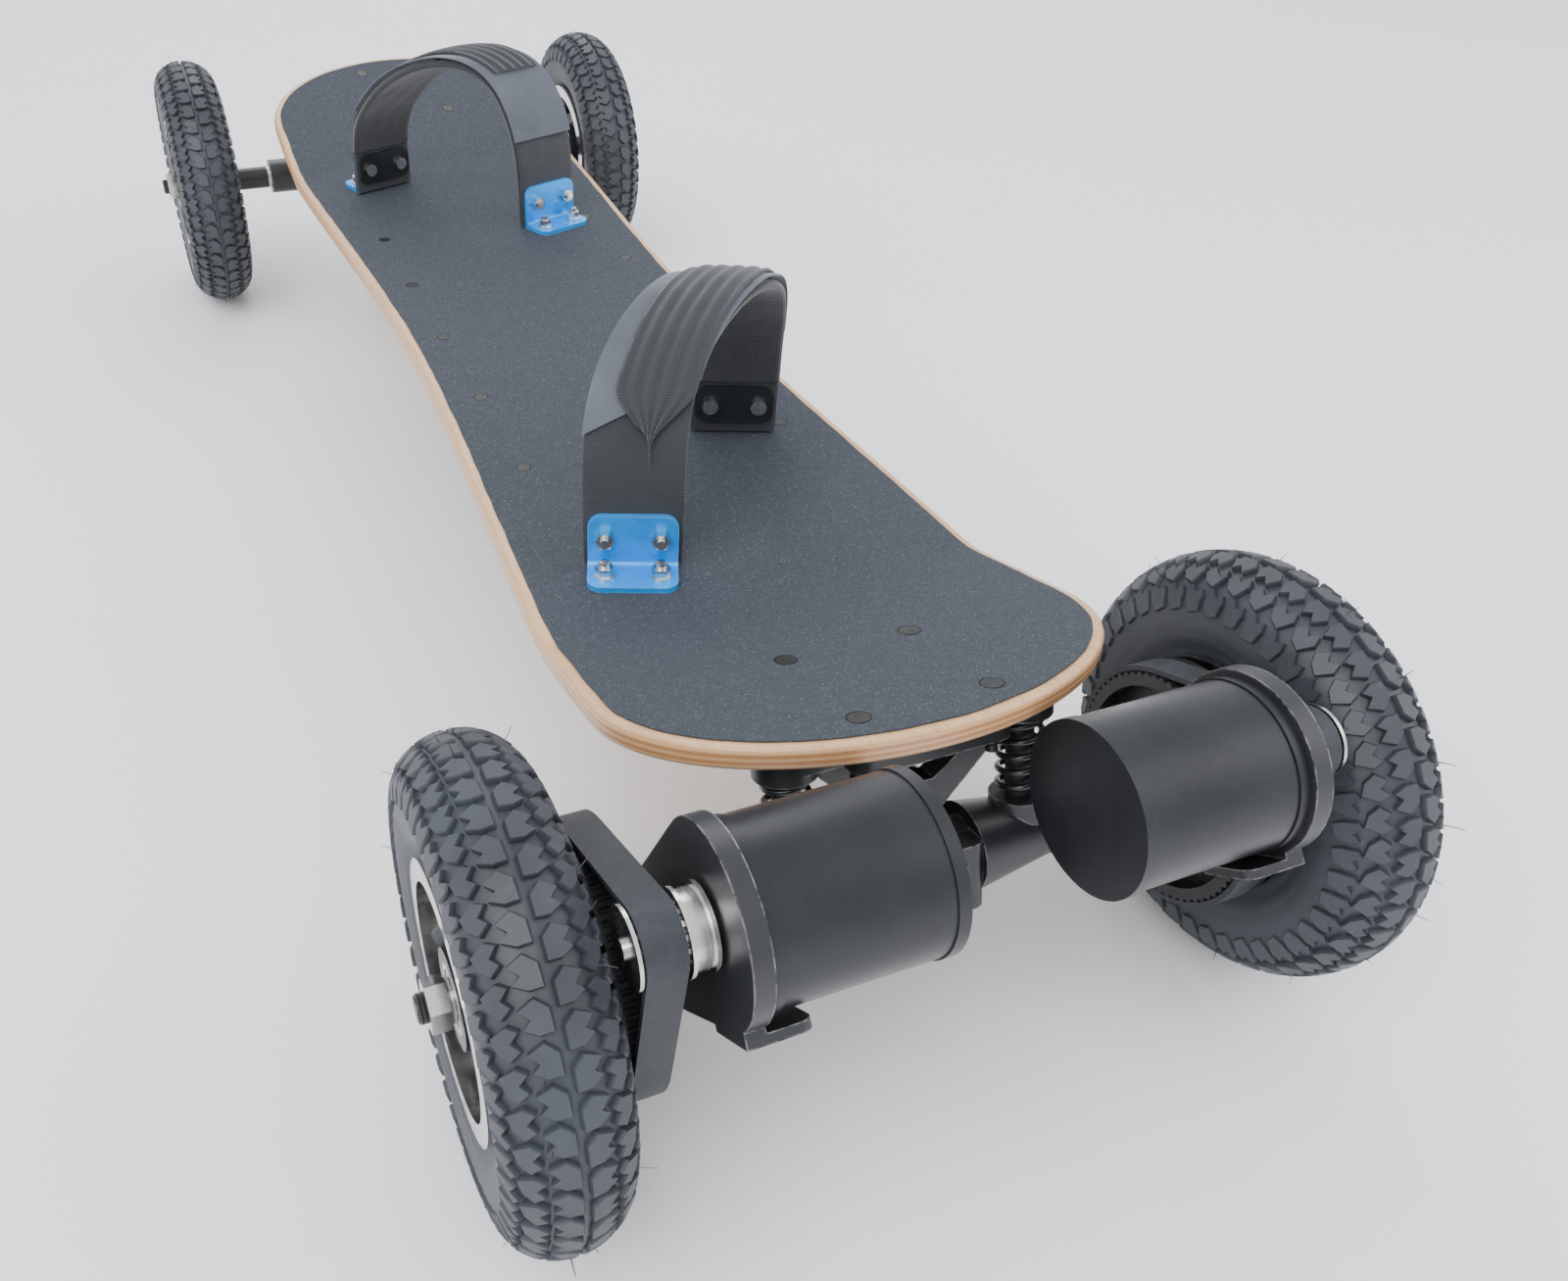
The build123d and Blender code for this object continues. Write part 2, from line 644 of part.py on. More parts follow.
def tyre_section(inset):
    """Rounded casing, narrower where it sits between the rim's flanges."""
    half = tyre_width / 2 - inset
    crown = tyre_diameter / 2 - inset
    bead = rim_half_width - rim_lip - bead_gap - inset
    foot = rim_barrel_radius + (inset if inset else small_gap)
    lip = rim_flange_radius + 0.5
    side = Spline((lip, bead), (tyre_centre, half), (crown - 7, half * 0.72), (crown, 0),
                  tangents=((1, 0.2), (0, -1)))
    mirror = Spline((crown, 0), (crown - 7, -half * 0.72), (tyre_centre, -half), (lip, -bead),
                    tangents=((0, -1), (-1, 0.2)))
    wall = [Line((foot, bead), (lip, bead)), Line((lip, -bead), (foot, -bead)),
            Line((foot, -bead), (foot, bead))]
    return make_face(Plane.XZ * Wire([side, mirror, *wall]))


casing = revolve(tyre_section(0), Axis.Z)
hollow = revolve(tyre_section(tyre_wall), Axis.Z)
slot_half = rim_half_width - rim_lip - bead_gap - tyre_wall
gap_ring = ring(rim_barrel_radius + tyre_wall + 3, rim_barrel_radius - 2, -slot_half, slot_half)
tyre = casing - hollow - gap_ring
air_tube = revolve(tyre_section(tyre_wall + small_gap), Axis.Z)
air_space = revolve(tyre_section(tyre_wall + small_gap + tube_wall), Axis.Z)
valve_base = rim_barrel_radius + tyre_wall + small_gap + tube_wall / 2
valve_place = Pos(valve_base, 0, 0) * Rot(0, -valve_lean, 0)
valve = valve_place * rod(valve_radius, 0, valve_length)
valve_bore = valve_place * rod(valve_bore_radius, -1.5 * tube_wall, valve_length + 1)
inner_tube = air_tube - air_space + valve - valve_bore

rim_points = [(bearing_outer_radius, hub_half_width), (bearing_outer_radius, hub_half_width - bearing_width),
              (10.5, hub_half_width - bearing_width), (10.5, 0), (rim_barrel_radius, 0),
              (rim_barrel_radius, rim_half_width - rim_lip), (rim_flange_radius, rim_half_width - rim_lip),
              (rim_flange_radius, rim_half_width + 1), (rim_barrel_radius - 4, rim_half_width + 1),
              (rim_barrel_radius - 4, rim_disc), (hub_radius + 2, rim_disc), (hub_radius, rim_disc + 2),
              (hub_radius, hub_half_width)]
rim_half = turned(rim_points)
half_step = 180 / rim_bolt_count
for i in range(rim_bolt_count):
    turn = 360 / rim_bolt_count * i
    rim_half -= Rot(0, 0, turn + half_step) * rod(
        rim_bolt_diameter / 2 + bolt_clearance, -1, 20, at=(rim_bolt_circle, 0))
    rim_half -= Rot(0, 0, turn) * rod(rim_window_radius, -1, 20, at=(rim_bolt_circle - 1, 0))
valve_hole = valve_place * rod(valve_radius + 0.4, -5, valve_length + 5)
outer_half = rim_half - valve_hole
inner_half = Rot(180, 0, 0) * rim_half - valve_hole
rim_bolts = []
for i in range(rim_bolt_count):
    spot = Rot(0, 0, 360 / rim_bolt_count * i + half_step) * Pos(rim_bolt_circle, 0, 0)
    head_top = rim_disc + rim_bolt_head_height
    shank = rod(rim_bolt_diameter / 2, -rim_disc - rim_nut_height - 1, rim_disc)
    head = rod(rim_bolt_head_radius, rim_disc, head_top) - hexagon(rim_bolt_socket, head_top - 3, head_top + 1)
    rim_bolts += [spot * (shank + head), spot * hexagon(
        rim_nut_width, -rim_disc - rim_nut_height, -rim_disc, rim_bolt_diameter / 2 + nut_thread_gap)]
bearing = ring(bearing_outer_radius, axle_radius + running_gap, hub_half_width - bearing_width, hub_half_width)
groove = ring(bearing_outer_radius - 2.5, axle_radius + 2.5, hub_half_width - 0.6, hub_half_width + 1)
bearing -= groove
bearing_pair = [bearing, Rot(180, 0, 0) * bearing]

corners = {"rear_left": (-1, -1), "rear_right": (1, -1), "front_left": (-1, 1), "front_right": (1, 1)}
for name, (side, end) in corners.items():
    place = Pos(side * half_track, end * half_base, axle_height) * Rot(0, side * 90, 0)
    keep(f"tyre_{name}", place * tyre)
    keep(f"inner_tube_{name}", place * inner_tube)
    keep(f"rim_{name}", place * outer_half, place * inner_half)
    keep(f"rim_bolts_{name}", *[place * s for s in rim_bolts])
    keep(f"bearings_{name}", *[place * s for s in bearing_pair])

# ---------------------------------------------------------------- belt drives

wheel_pitch_radius = belt_pitch * wheel_pulley_teeth / (2 * pi)
motor_pitch_radius = belt_pitch * motor_pulley_teeth / (2 * pi)


def belt_path_length(spacing):
    lean = asin((wheel_pitch_radius - motor_pitch_radius) / spacing)
    straight = 2 * sqrt(spacing ** 2 - (wheel_pitch_radius - motor_pitch_radius) ** 2)
    return straight + wheel_pitch_radius * (pi + 2 * lean) + motor_pitch_radius * (pi - 2 * lean)


drive_spacing = wheel_pitch_radius + motor_pitch_radius
for step in range(60):
    drive_spacing += (belt_pitch * belt_teeth - belt_path_length(drive_spacing)) / 2

lift = radians(drive_elevation)
motor_y = -half_base - drive_spacing * cos(lift)
motor_z = axle_height + drive_spacing * sin(lift)
pulley_end = half_track - tyre_width / 2 - pulley_to_tyre
pulley_start = pulley_end - pulley_face_width
plate_end = pulley_start - plate_to_pulley
plate_start = plate_end - motor_plate_thickness
motor_inner_end = plate_start - motor_length


def loop_face(big, small):
    """Outline of a band round two circles, the first at the origin, the second drive_spacing away along X."""
    lean = acos((big - small) / drive_spacing)
    first = [(big * cos(lean), side * big * sin(lean)) for side in (1, -1)]
    second = [(drive_spacing + small * cos(lean), side * small * sin(lean)) for side in (1, -1)]
    around_second = ThreePointArc(second[0], (drive_spacing + small, 0), second[1])
    around_first = ThreePointArc(first[1], (-big, 0), first[0])
    return make_face(Wire([Line(first[0], second[0]), around_second, Line(second[1], first[1]), around_first]))


def toothed(teeth, pitch_radius):
    """Pulley outline: a disc with one round groove for each belt tooth."""
    outline = Circle(pitch_radius - tooth_land)
    grooves = PolarLocations(pitch_radius - tooth_land, teeth) * Circle(belt_pitch * 0.28)
    return outline - grooves


def slab(face, start, end):
    return Pos(0, 0, start) * extrude(face, end - start)


belt_inside = -tooth_land + moving_gap
belt_mid = (pulley_start + pulley_end) / 2
belt_outer_face = loop_face(wheel_pitch_radius + belt_inside + belt_thickness,
                            motor_pitch_radius + belt_inside + belt_thickness)
belt_inner_face = loop_face(wheel_pitch_radius + belt_inside, motor_pitch_radius + belt_inside)
belt = slab(belt_outer_face - belt_inner_face, belt_mid - belt_width / 2, belt_mid + belt_width / 2)

motor_at = Pos(drive_spacing, 0, 0)
rim_disc_face = half_track - rim_disc
wheel_pulley = slab(toothed(wheel_pulley_teeth, wheel_pitch_radius), pulley_start, pulley_end)
wheel_pulley += rod(wheel_pitch_radius + belt_thickness, pulley_end, pulley_end + pulley_flange)
wheel_pulley -= ring(wheel_pitch_radius - 7, adapter_radius, pulley_start - 1, pulley_end - 6)
for i in range(rim_bolt_count):
    window = rod(7.5, pulley_start, pulley_end + 5, at=((wheel_pitch_radius - 7 + adapter_radius) / 2, 0))
    wheel_pulley -= Rot(0, 0, 360 / rim_bolt_count * i) * window
wheel_pulley += rod(adapter_radius, pulley_start, rim_disc_face)
wheel_pulley -= rod(adapter_radius - adapter_wall, pulley_start - 1, rim_disc_face + 1)

motor_pulley = slab(toothed(motor_pulley_teeth, motor_pitch_radius), pulley_start - 1, pulley_end)
motor_pulley += rod(motor_pitch_radius + belt_thickness, pulley_end, pulley_end + pulley_flange)
motor_pulley += rod(hub_flange_radius, plate_end + 1.5, pulley_start)
motor_pulley -= ring(hub_flange_radius + 1, hub_flange_radius - 1.5, plate_end + 3, pulley_start - 1.5)
motor_pulley -= rod(shaft_radius, plate_end - 1, pulley_end + 5)
motor_pulley = motor_at * motor_pulley

rotor_start = motor_inner_end + motor_wall + 6
rotor_end = plate_start - 6
rotor = ring(rotor_radius, rotor_radius - 5, rotor_start, rotor_end)
rotor += ring(rotor_radius, shaft_radius - 1, rotor_end - 6, rotor_end)
rotor += rod(shaft_radius, motor_inner_end + motor_wall + 1, pulley_end + pulley_flange + 1.5)
rotor = motor_at * rotor

motor_case = ring(motor_radius, motor_radius - motor_wall, motor_inner_end, plate_start)
motor_case -= ring(motor_radius + 1, motor_radius - 0.7, motor_inner_end + lip_width, plate_start - lip_width)
motor_case += rod(motor_radius, motor_inner_end, motor_inner_end + motor_wall)
motor_case += rod(11, motor_inner_end, motor_inner_end + motor_wall + 5)
motor_case -= rod(shaft_radius + running_gap, motor_inner_end + motor_wall + 0.5, plate_start)
motor_case = motor_at * motor_case

plate = slab(loop_face(clamp_radius, motor_radius + motor_plate_margin), plate_start, plate_end)
plate -= rod(tube_radius + running_gap, plate_start - 1, plate_end + 1)
plate -= motor_at * rod(shaft_radius + running_gap, plate_start - 1, plate_end + 1)

foot_lean = radians(foot_angle)
for name, side in (("left", -1), ("right", 1)):
    towards_motor = (0, -cos(lift), sin(lift))
    drive = Plane(origin=(0, -half_base, axle_height), x_dir=towards_motor, z_dir=(side, 0, 0)).location
    foot_plane = Plane(origin=(side * plate_end, motor_y, motor_z), x_dir=(-side, 0, 0),
                       z_dir=(0, -cos(foot_lean), -sin(foot_lean))).location
    foot_start = motor_radius + motor_plate_margin
    backwards = side
    y0, y1 = sorted((backwards * (foot_reach - foot_length), backwards * foot_reach))
    corner = block(0, motor_plate_thickness, y0, y1, motor_radius - 12, foot_start + foot_thickness)
    foot = block(0, foot_depth, y0, y1, foot_start, foot_start + foot_thickness)
    foot = fillet([e for e in foot.edges().filter_by(Axis.Z) if e.center().X > foot_depth - 1], 6)
    whole_plate = drive * plate + foot_plane * (corner + foot)
    keep(f"motor_plate_{name}", whole_plate)
    keep(f"motor_case_{name}", drive * motor_case)
    keep(f"motor_rotor_{name}", drive * rotor)
    keep(f"motor_pulley_{name}", drive * motor_pulley)
    keep(f"drive_belt_{name}", drive * belt)
    keep(f"wheel_pulley_{name}", drive * wheel_pulley)
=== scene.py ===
"""Finishes the electric skateboard: tyres, deck, straps, trucks, belt drive, battery box and stage."""
import math
import random

import bmesh
import bpy
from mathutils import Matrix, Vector, noise
from mathutils.geometry import delaunay_2d_cdt


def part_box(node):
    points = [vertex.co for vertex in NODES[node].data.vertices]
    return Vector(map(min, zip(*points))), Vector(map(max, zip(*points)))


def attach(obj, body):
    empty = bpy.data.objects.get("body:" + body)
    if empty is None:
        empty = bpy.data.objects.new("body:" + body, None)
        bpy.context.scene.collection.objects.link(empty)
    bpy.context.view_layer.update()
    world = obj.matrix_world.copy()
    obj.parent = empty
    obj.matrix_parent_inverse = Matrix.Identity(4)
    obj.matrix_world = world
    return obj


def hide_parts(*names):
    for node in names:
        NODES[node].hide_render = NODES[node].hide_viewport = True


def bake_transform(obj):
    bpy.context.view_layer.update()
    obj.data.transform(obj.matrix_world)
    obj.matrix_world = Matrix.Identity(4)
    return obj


bl_info = {
    "name": "Electric skateboard",
    "version": (1, 0, 0),
    "blender": (4, 5, 0),
    "location": "3D View > Sidebar > Skateboard",
    "description": "Adds the finish and the soft pieces of an electric skateboard to its frame",
    "category": "Object",
}

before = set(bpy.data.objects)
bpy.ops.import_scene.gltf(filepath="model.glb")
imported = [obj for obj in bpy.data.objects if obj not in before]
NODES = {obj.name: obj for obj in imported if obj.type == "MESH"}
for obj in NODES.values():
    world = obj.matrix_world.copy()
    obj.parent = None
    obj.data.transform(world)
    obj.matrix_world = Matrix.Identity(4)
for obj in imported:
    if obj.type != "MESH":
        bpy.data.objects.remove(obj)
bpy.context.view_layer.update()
CORNERS = ("rear_left", "rear_right", "front_left", "front_right")
SIDES = {"left": -1, "right": 1}
ENDS = {"rear": -1, "front": 1}
PLATE_REACH = 0.025  # a strap's backing plate is wider than this, its bolts and nuts are narrower
SPACER_INNER = 0.03  # the black spacers start this far inside the tyre's inner side
SPACER_OUTER = 0.012  # and end this far beyond it
THREAD_REACH = 0.012  # the axle's thread starts this far inside the tyre's outer side
FLANGE_RADIUS = 0.045  # the rims are polished outside this radius
CASING_SHARE = 0.75  # radius of the tyre's casing centre, as a share of the tyre's
CASING_PLAY = 0.0014  # room left beside the casing for its ridges
BEAD_REACH = 0.0294  # from the casing's centre in to the bead
STRAP_HALF = 0.0025  # half a strap's thickness
LEG_HEIGHT = 0.032  # straight part of a strap above its bracket's foot
ARCH_DROP = 0.005  # how far the arch stays under the strap's full height


# ------------------------------------------------------------------ settings

class BoardSizes(bpy.types.PropertyGroup):
    """Sizes that the pieces made here take beside those of the frame."""

    deck_thickness: bpy.props.FloatProperty(
        name="Deck thickness", description="Thickness of the ply board", default=0.011, unit="LENGTH")
    deck_round: bpy.props.FloatProperty(
        name="Deck edge", description="Radius worn on the deck's edges", default=0.0028, unit="LENGTH")
    kick_angle: bpy.props.FloatProperty(
        name="Kick angle", description="Rise of the deck's ends", default=math.radians(16), subtype="ANGLE")
    kick_radius: bpy.props.FloatProperty(
        name="Kick radius", description="Bend of the deck at each end", default=0.08, unit="LENGTH")
    end_length: bpy.props.FloatProperty(
        name="End curve", description="Length of the rounded end", default=0.085, unit="LENGTH")
    waist_width: bpy.props.FloatProperty(
        name="Waist width", description="Width of the deck's middle", default=0.202, unit="LENGTH")
    grip_margin: bpy.props.FloatProperty(
        name="Bare rim", description="Wood left bare round the grip sheet", default=0.0055, unit="LENGTH")
    lug_height: bpy.props.FloatProperty(
        name="Lug height", description="Height of the tyre's tread blocks", default=0.0028, unit="LENGTH")
    lugs_round: bpy.props.IntProperty(
        name="Lugs round", description="Repeats of the tread round a tyre", default=44)
    vent_hairs: bpy.props.IntProperty(
        name="Vent hairs", description="Rubber hairs left on each tyre by its mould", default=34)
    strap_width: bpy.props.FloatProperty(
        name="Strap width", description="Width of the foot straps", default=0.05, unit="LENGTH")
    strap_run: bpy.props.FloatProperty(
        name="Strap run", description="Distance between a strap's two legs", default=0.139, unit="LENGTH")
    strap_shift: bpy.props.FloatProperty(
        name="Strap shift", description="Sideways step of a strap over the foot", default=0.056,
        unit="LENGTH")
    strap_turn: bpy.props.FloatProperty(
        name="Strap turn", description="Turn of the straps across the deck", default=math.radians(-21),
        subtype="ANGLE")


def colour(label, about, value):
    return bpy.props.FloatVectorProperty(
        name=label, description=about, default=value, size=3, min=0, max=1, subtype="COLOR")


class BoardColours(bpy.types.PropertyGroup):
    """Colours of the board's finishes."""

    maple: colour("Maple", "Face and light plies of the deck", (0.62, 0.37, 0.185))
    dark_ply: colour("Dark ply", "Cross plies and glue lines of the deck", (0.36, 0.17, 0.07))
    grip: colour("Grip sheet", "Grit sheet on the deck", (0.030, 0.036, 0.046))
    grit: colour("Grit", "Single grains that catch the light", (0.42, 0.45, 0.48))
    rubber: colour("Tyre rubber", "Tread and side of the tyres", (0.032, 0.037, 0.045))
    webbing: colour("Webbing", "Woven straps", (0.016, 0.018, 0.022))
    strap_face: colour("Strap face", "Smooth outer face of the straps", (0.075, 0.085, 0.108))
    anodised: colour("Brackets", "Anodised strap brackets", (0.0, 0.31, 0.88))
    coat: colour("Black coat", "Powder coat on trucks and motors", (0.011, 0.012, 0.014))
    bright: colour("Bright steel", "Nuts, bolts, rims and pulleys", (0.72, 0.71, 0.69))
    moulding: colour("Moulding", "Black mouldings of the battery box", (0.018, 0.019, 0.021))


# ------------------------------------------------------------------ finishes

class Finish:
    """A material built step by step; every step returns a socket."""

    def __init__(self, name, **constants):
        self.material = bpy.data.materials.new(name)
        self.material.use_nodes = True
        self.tree = self.material.node_tree
        self.shader = self.tree.nodes["Principled BSDF"]
        for socket, value in constants.items():
            self.set(socket.replace("_", " "), value)

    def set(self, socket, value):
        target = self.shader.inputs[socket]
        if isinstance(value, bpy.types.NodeSocket):
            self.tree.links.new(value, target)
        elif hasattr(target.default_value, "__len__") and len(value) == 3 and len(target.default_value) == 4:
            target.default_value = (*value, 1.0)
        else:
            target.default_value = value

    def add(self, kind, inputs=None, **settings):
        node = self.tree.nodes.new("ShaderNode" + kind)
        for key, value in settings.items():
            setattr(node, key, value)
        for key, value in (inputs or {}).items():
            socket = node.inputs[key]
            if isinstance(value, bpy.types.NodeSocket):
                self.tree.links.new(value, socket)
            elif hasattr(value, "__len__") and len(value) == 3 and len(socket.default_value) == 4:
                socket.default_value = (*value, 1.0)
            else:
                socket.default_value = value
        return node

    def place(self, scale=(1, 1, 1), turn=(0, 0, 0)):
        source = self.add("TexCoord").outputs["Object"]
        return self.add("Mapping", {"Vector": source, "Scale": scale, "Rotation": turn}).outputs[0]

    def grain(self, scale, detail=4.0, rough=0.6, at=None, distortion=0.0):
        inputs = {"Scale": scale, "Detail": detail, "Roughness": rough, "Distortion": distortion}
        inputs["Vector"] = at or self.place()
        return self.add("TexNoise", inputs).outputs["Fac"]

    def cells(self, scale, feature="F1", output="Distance", at=None, randomness=1.0):
        inputs = {"Scale": scale, "Randomness": randomness, "Vector": at or self.place()}
        return self.add("TexVoronoi", inputs, feature=feature).outputs[output]

    def bands(self, scale, axis="X", at=None, distortion=0.0, detail=0.0, profile="SIN"):
        inputs = {"Scale": scale, "Distortion": distortion, "Detail": detail, "Vector": at or self.place()}
        return self.add("TexWave", inputs, bands_direction=axis, wave_profile=profile).outputs["Fac"]

    def span(self, value, low, high, to_low=0.0, to_high=1.0):
        inputs = {0: value, 1: low, 2: high, 3: to_low, 4: to_high}
        return self.add("MapRange", inputs).outputs[0]

    def sums(self, operation, first, second=0.5):
        return self.add("Math", {0: first, 1: second}, operation=operation).outputs[0]

    def mix(self, amount, first, second):
        inputs = {0: amount, 6: first, 7: second}
        return self.add("Mix", inputs, data_type="RGBA").outputs[2]

    def relief(self, height, depth, strength=1.0, under=None):
        inputs = {"Height": height, "Distance": depth, "Strength": strength}
        if under is not None:
            inputs["Normal"] = under
        return self.add("Bump", inputs).outputs[0]

    def edges(self, width):
        """1 on edges, 0 on flats; used for worn chips on the coats and for a painted edge highlight on the
        anodised brackets.
        """
        soft = self.add("Bevel", {"Radius": width}, samples=4).outputs[0]
        hard = self.add("NewGeometry").outputs["Normal"]
        facing = self.add("VectorMath", {0: soft, 1: hard}, operation="DOT_PRODUCT").outputs["Value"]
        return self.span(facing, 0.985, 0.90)


def tint(rgb, factor):
    return tuple(min(1.0, c * factor) for c in rgb)


def maple_finish(c):
    f = Finish("maple_ply", Roughness=0.42, Coat_Weight=0.35, Coat_Roughness=0.25)
    streaks = f.grain(26, 7, 0.65, f.place((9, 0.9, 9)), 0.6)
    pores = f.grain(420, 3, 0.7, f.place((3, 0.18, 3)))
    face = f.mix(f.span(streaks, 0.3, 0.72), tint(c.maple, 0.8), tint(c.maple, 1.18))
    face = f.mix(f.span(pores, 0.62, 0.75, 0, 0.35), face, c.dark_ply)
    depth = f.add("Attribute", attribute_name="ply_depth").outputs["Fac"]
    wobble = f.sums("MULTIPLY", f.grain(30, 2), 0.03)
    plies = f.sums("ADD", depth, wobble)
    wave = f.sums("SINE", f.sums("MULTIPLY", plies, 2 * math.pi * 3.5))
    cross = f.span(wave, -0.2, 0.25)
    end_grain = f.mix(cross, tint(c.maple, 1.05), tint(c.dark_ply, 1.35))
    fibres = f.grain(900, 2, 0.6, f.place((1, 1, 0.3)))
    end_grain = f.mix(f.span(fibres, 0.5, 0.8, 0, 0.4), end_grain, c.dark_ply)
    glue = f.span(f.sums("ABSOLUTE", f.sums("ADD", wave, 0.05)), 0.0, 0.16, 0.55, 0)
    end_grain = f.mix(glue, end_grain, tint(c.dark_ply, 0.6))
    normal = f.add("NewGeometry").outputs["Normal"]
    upright = f.sums("ABSOLUTE", f.add("SeparateXYZ", {0: normal}).outputs[2])
    f.set("Base Color", f.mix(f.span(upright, 0.5, 0.75), end_grain, face))
    f.set("Roughness", f.span(streaks, 0.3, 0.8, 0.36, 0.55))
    f.set("Normal", f.relief(pores, 0.00012, 0.5))
    return f.material


def grip_finish(c):
    f = Finish("grip_grit", Specular_IOR_Level=0.4)
    patches = f.grain(9, 5, 0.6)
    mottle = f.grain(260, 5, 0.75)
    grains = f.cells(2200)
    pits = f.grain(3200, 2, 0.7)
    chance = f.cells(2600, output="Color")
    lit = f.span(f.add("SeparateColor", {0: chance}).outputs[0], 0.95, 0.99)
    base = f.mix(f.span(patches, 0.35, 0.68), tint(c.grip, 0.9), tint(c.grip, 1.12))
    base = f.mix(f.span(mottle, 0.4, 0.62), tint(c.grip, 0.6), f.mix(0.6, base, tint(c.grip, 1.7)))
    base = f.mix(f.span(grains, 0.05, 0.5, 0, 0.35), tint(c.grip, 1.4), base)
    f.set("Base Color", f.mix(f.sums("MULTIPLY", lit, 0.3), base, c.grit))
    f.set("Roughness", f.span(lit, 0, 1, 0.86, 0.5))
    rough = f.relief(grains, 0.00022, 0.8)
    f.set("Normal", f.relief(pits, 0.00014, 0.6, rough))
    return f.material


def rubber_finish(c):
    f = Finish("tyre_rubber", Specular_IOR_Level=0.5)
    cloud = f.grain(24, 5, 0.6)
    skin = f.grain(900, 3, 0.6)
    dust = f.span(f.grain(110, 6, 0.7), 0.55, 0.8, 0, 0.3)
    base = f.mix(f.span(cloud, 0.3, 0.7), tint(c.rubber, 0.75), tint(c.rubber, 1.35))
    f.set("Base Color", f.mix(dust, base, tint(c.rubber, 2.6)))
    f.set("Roughness", f.span(cloud, 0.3, 0.75, 0.42, 0.62))
    f.set("Normal", f.relief(skin, 0.00012, 0.6))
    return f.material


def coat_finish(c, name, texture=1.0, worn=0.0, low=0.34, high=0.5):
    f = Finish(name, Specular_IOR_Level=0.5, Coat_Weight=0.15, Coat_Roughness=0.3)
    orange_peel = f.grain(1100, 2, 0.5)
    smears = f.grain(18, 5, 0.65)
    specks = f.span(f.grain(700, 2, 0.5), 0.74, 0.8)
    base = f.mix(f.span(smears, 0.3, 0.75), tint(c.coat, 0.8), tint(c.coat, 1.5))
    base = f.mix(f.sums("MULTIPLY", specks, 0.25), base, (0.2, 0.2, 0.2))
    if worn:
        chipped = f.sums("MULTIPLY", f.edges(0.0012), f.span(f.grain(160, 5, 0.7), 0.42, 0.6))
        base = f.mix(f.sums("MULTIPLY", chipped, worn), base, (0.5, 0.5, 0.5))
        f.set("Metallic", f.sums("MULTIPLY", chipped, worn))
    f.set("Base Color", base)
    f.set("Roughness", f.span(smears, 0.25, 0.8, low, high))
    f.set("Normal", f.relief(orange_peel, 0.00008 * texture, 0.6))
    return f.material


def motor_finish(c):
    """Satin cover with a fine diamond texture rolled into it."""
    f = Finish("motor_cover", Metallic=0.35, Specular_IOR_Level=0.55)
    one = f.bands(520, "DIAGONAL", f.place((1, 1, 1)))
    two = f.bands(520, "DIAGONAL", f.place((-1, 1, 1)))
    diamonds = f.sums("MAXIMUM", one, two)
    smears = f.grain(22, 5, 0.6)
    rubs = f.span(f.grain(90, 6, 0.75, f.place((0.4, 1, 1))), 0.62, 0.85, 0, 0.2)
    base = f.mix(f.span(smears, 0.3, 0.75), tint(c.coat, 1.0), tint(c.coat, 2.0))
    f.set("Base Color", f.mix(rubs, base, (0.12, 0.12, 0.13)))
    f.set("Roughness", f.span(smears, 0.25, 0.8, 0.26, 0.4))
    f.set("Normal", f.relief(diamonds, 0.00006, 0.55))
    return f.material


def bright_finish(c, name="bright_steel", shade=1.0, low=0.14, high=0.3):
    f = Finish(name, Metallic=1.0)
    turned = f.grain(700, 3, 0.6, f.place((1, 0.15, 0.15)))
    marks = f.grain(60, 5, 0.7)
    f.set("Base Color", f.mix(f.span(marks, 0.35, 0.75), tint(c.bright, shade), tint(c.bright, shade * 0.72)))
    f.set("Roughness", f.span(turned, 0.3, 0.7, low, high))
    f.set("Normal", f.relief(turned, 0.00002, 0.4))
    return f.material


def hardware_finish(c, inner, outer):
    """Bright nuts and washers, with blackened spacers between two distances from the middle."""
    f = Finish("axle_hardware")
    across = f.sums("ABSOLUTE", f.add("SeparateXYZ", {0: f.place()}).outputs[0])
    black = f.sums("MULTIPLY", f.sums("GREATER_THAN", across, inner), f.sums("LESS_THAN", across, outer))
    marks = f.grain(60, 5, 0.7)
    polished = f.mix(f.span(marks, 0.35, 0.75), c.bright, tint(c.bright, 0.72))
    f.set("Base Color", f.mix(black, polished, f.mix(marks, tint(c.coat, 0.9), tint(c.coat, 1.8))))
    f.set("Metallic", f.span(black, 0, 1, 1, 0))
    f.set("Roughness", f.sums("ADD", f.span(black, 0, 1, 0.12, 0.3), f.span(marks, 0.3, 0.7, 0, 0.14)))
    f.set("Normal", f.relief(f.grain(700, 3, 0.6), 0.00002, 0.4))
    return f.material


def thread_finish(limit):
    """Blackened axle steel with a thread cut beyond limit from the middle."""
    f = Finish("blackened_axle", Metallic=0.8, Roughness=0.38)
    across = f.add("SeparateXYZ", {0: f.place()}).outputs[0]
    cut = f.span(f.sums("ABSOLUTE", across), limit - 0.0003, limit)
    turns = f.bands(210, "X", profile="TRI")
    f.set("Base Color", f.mix(f.grain(80, 4), (0.02, 0.02, 0.022), (0.09, 0.09, 0.095)))
    f.set("Normal", f.relief(f.sums("MULTIPLY", turns, cut), 0.0007, 1.0))
    return f.material


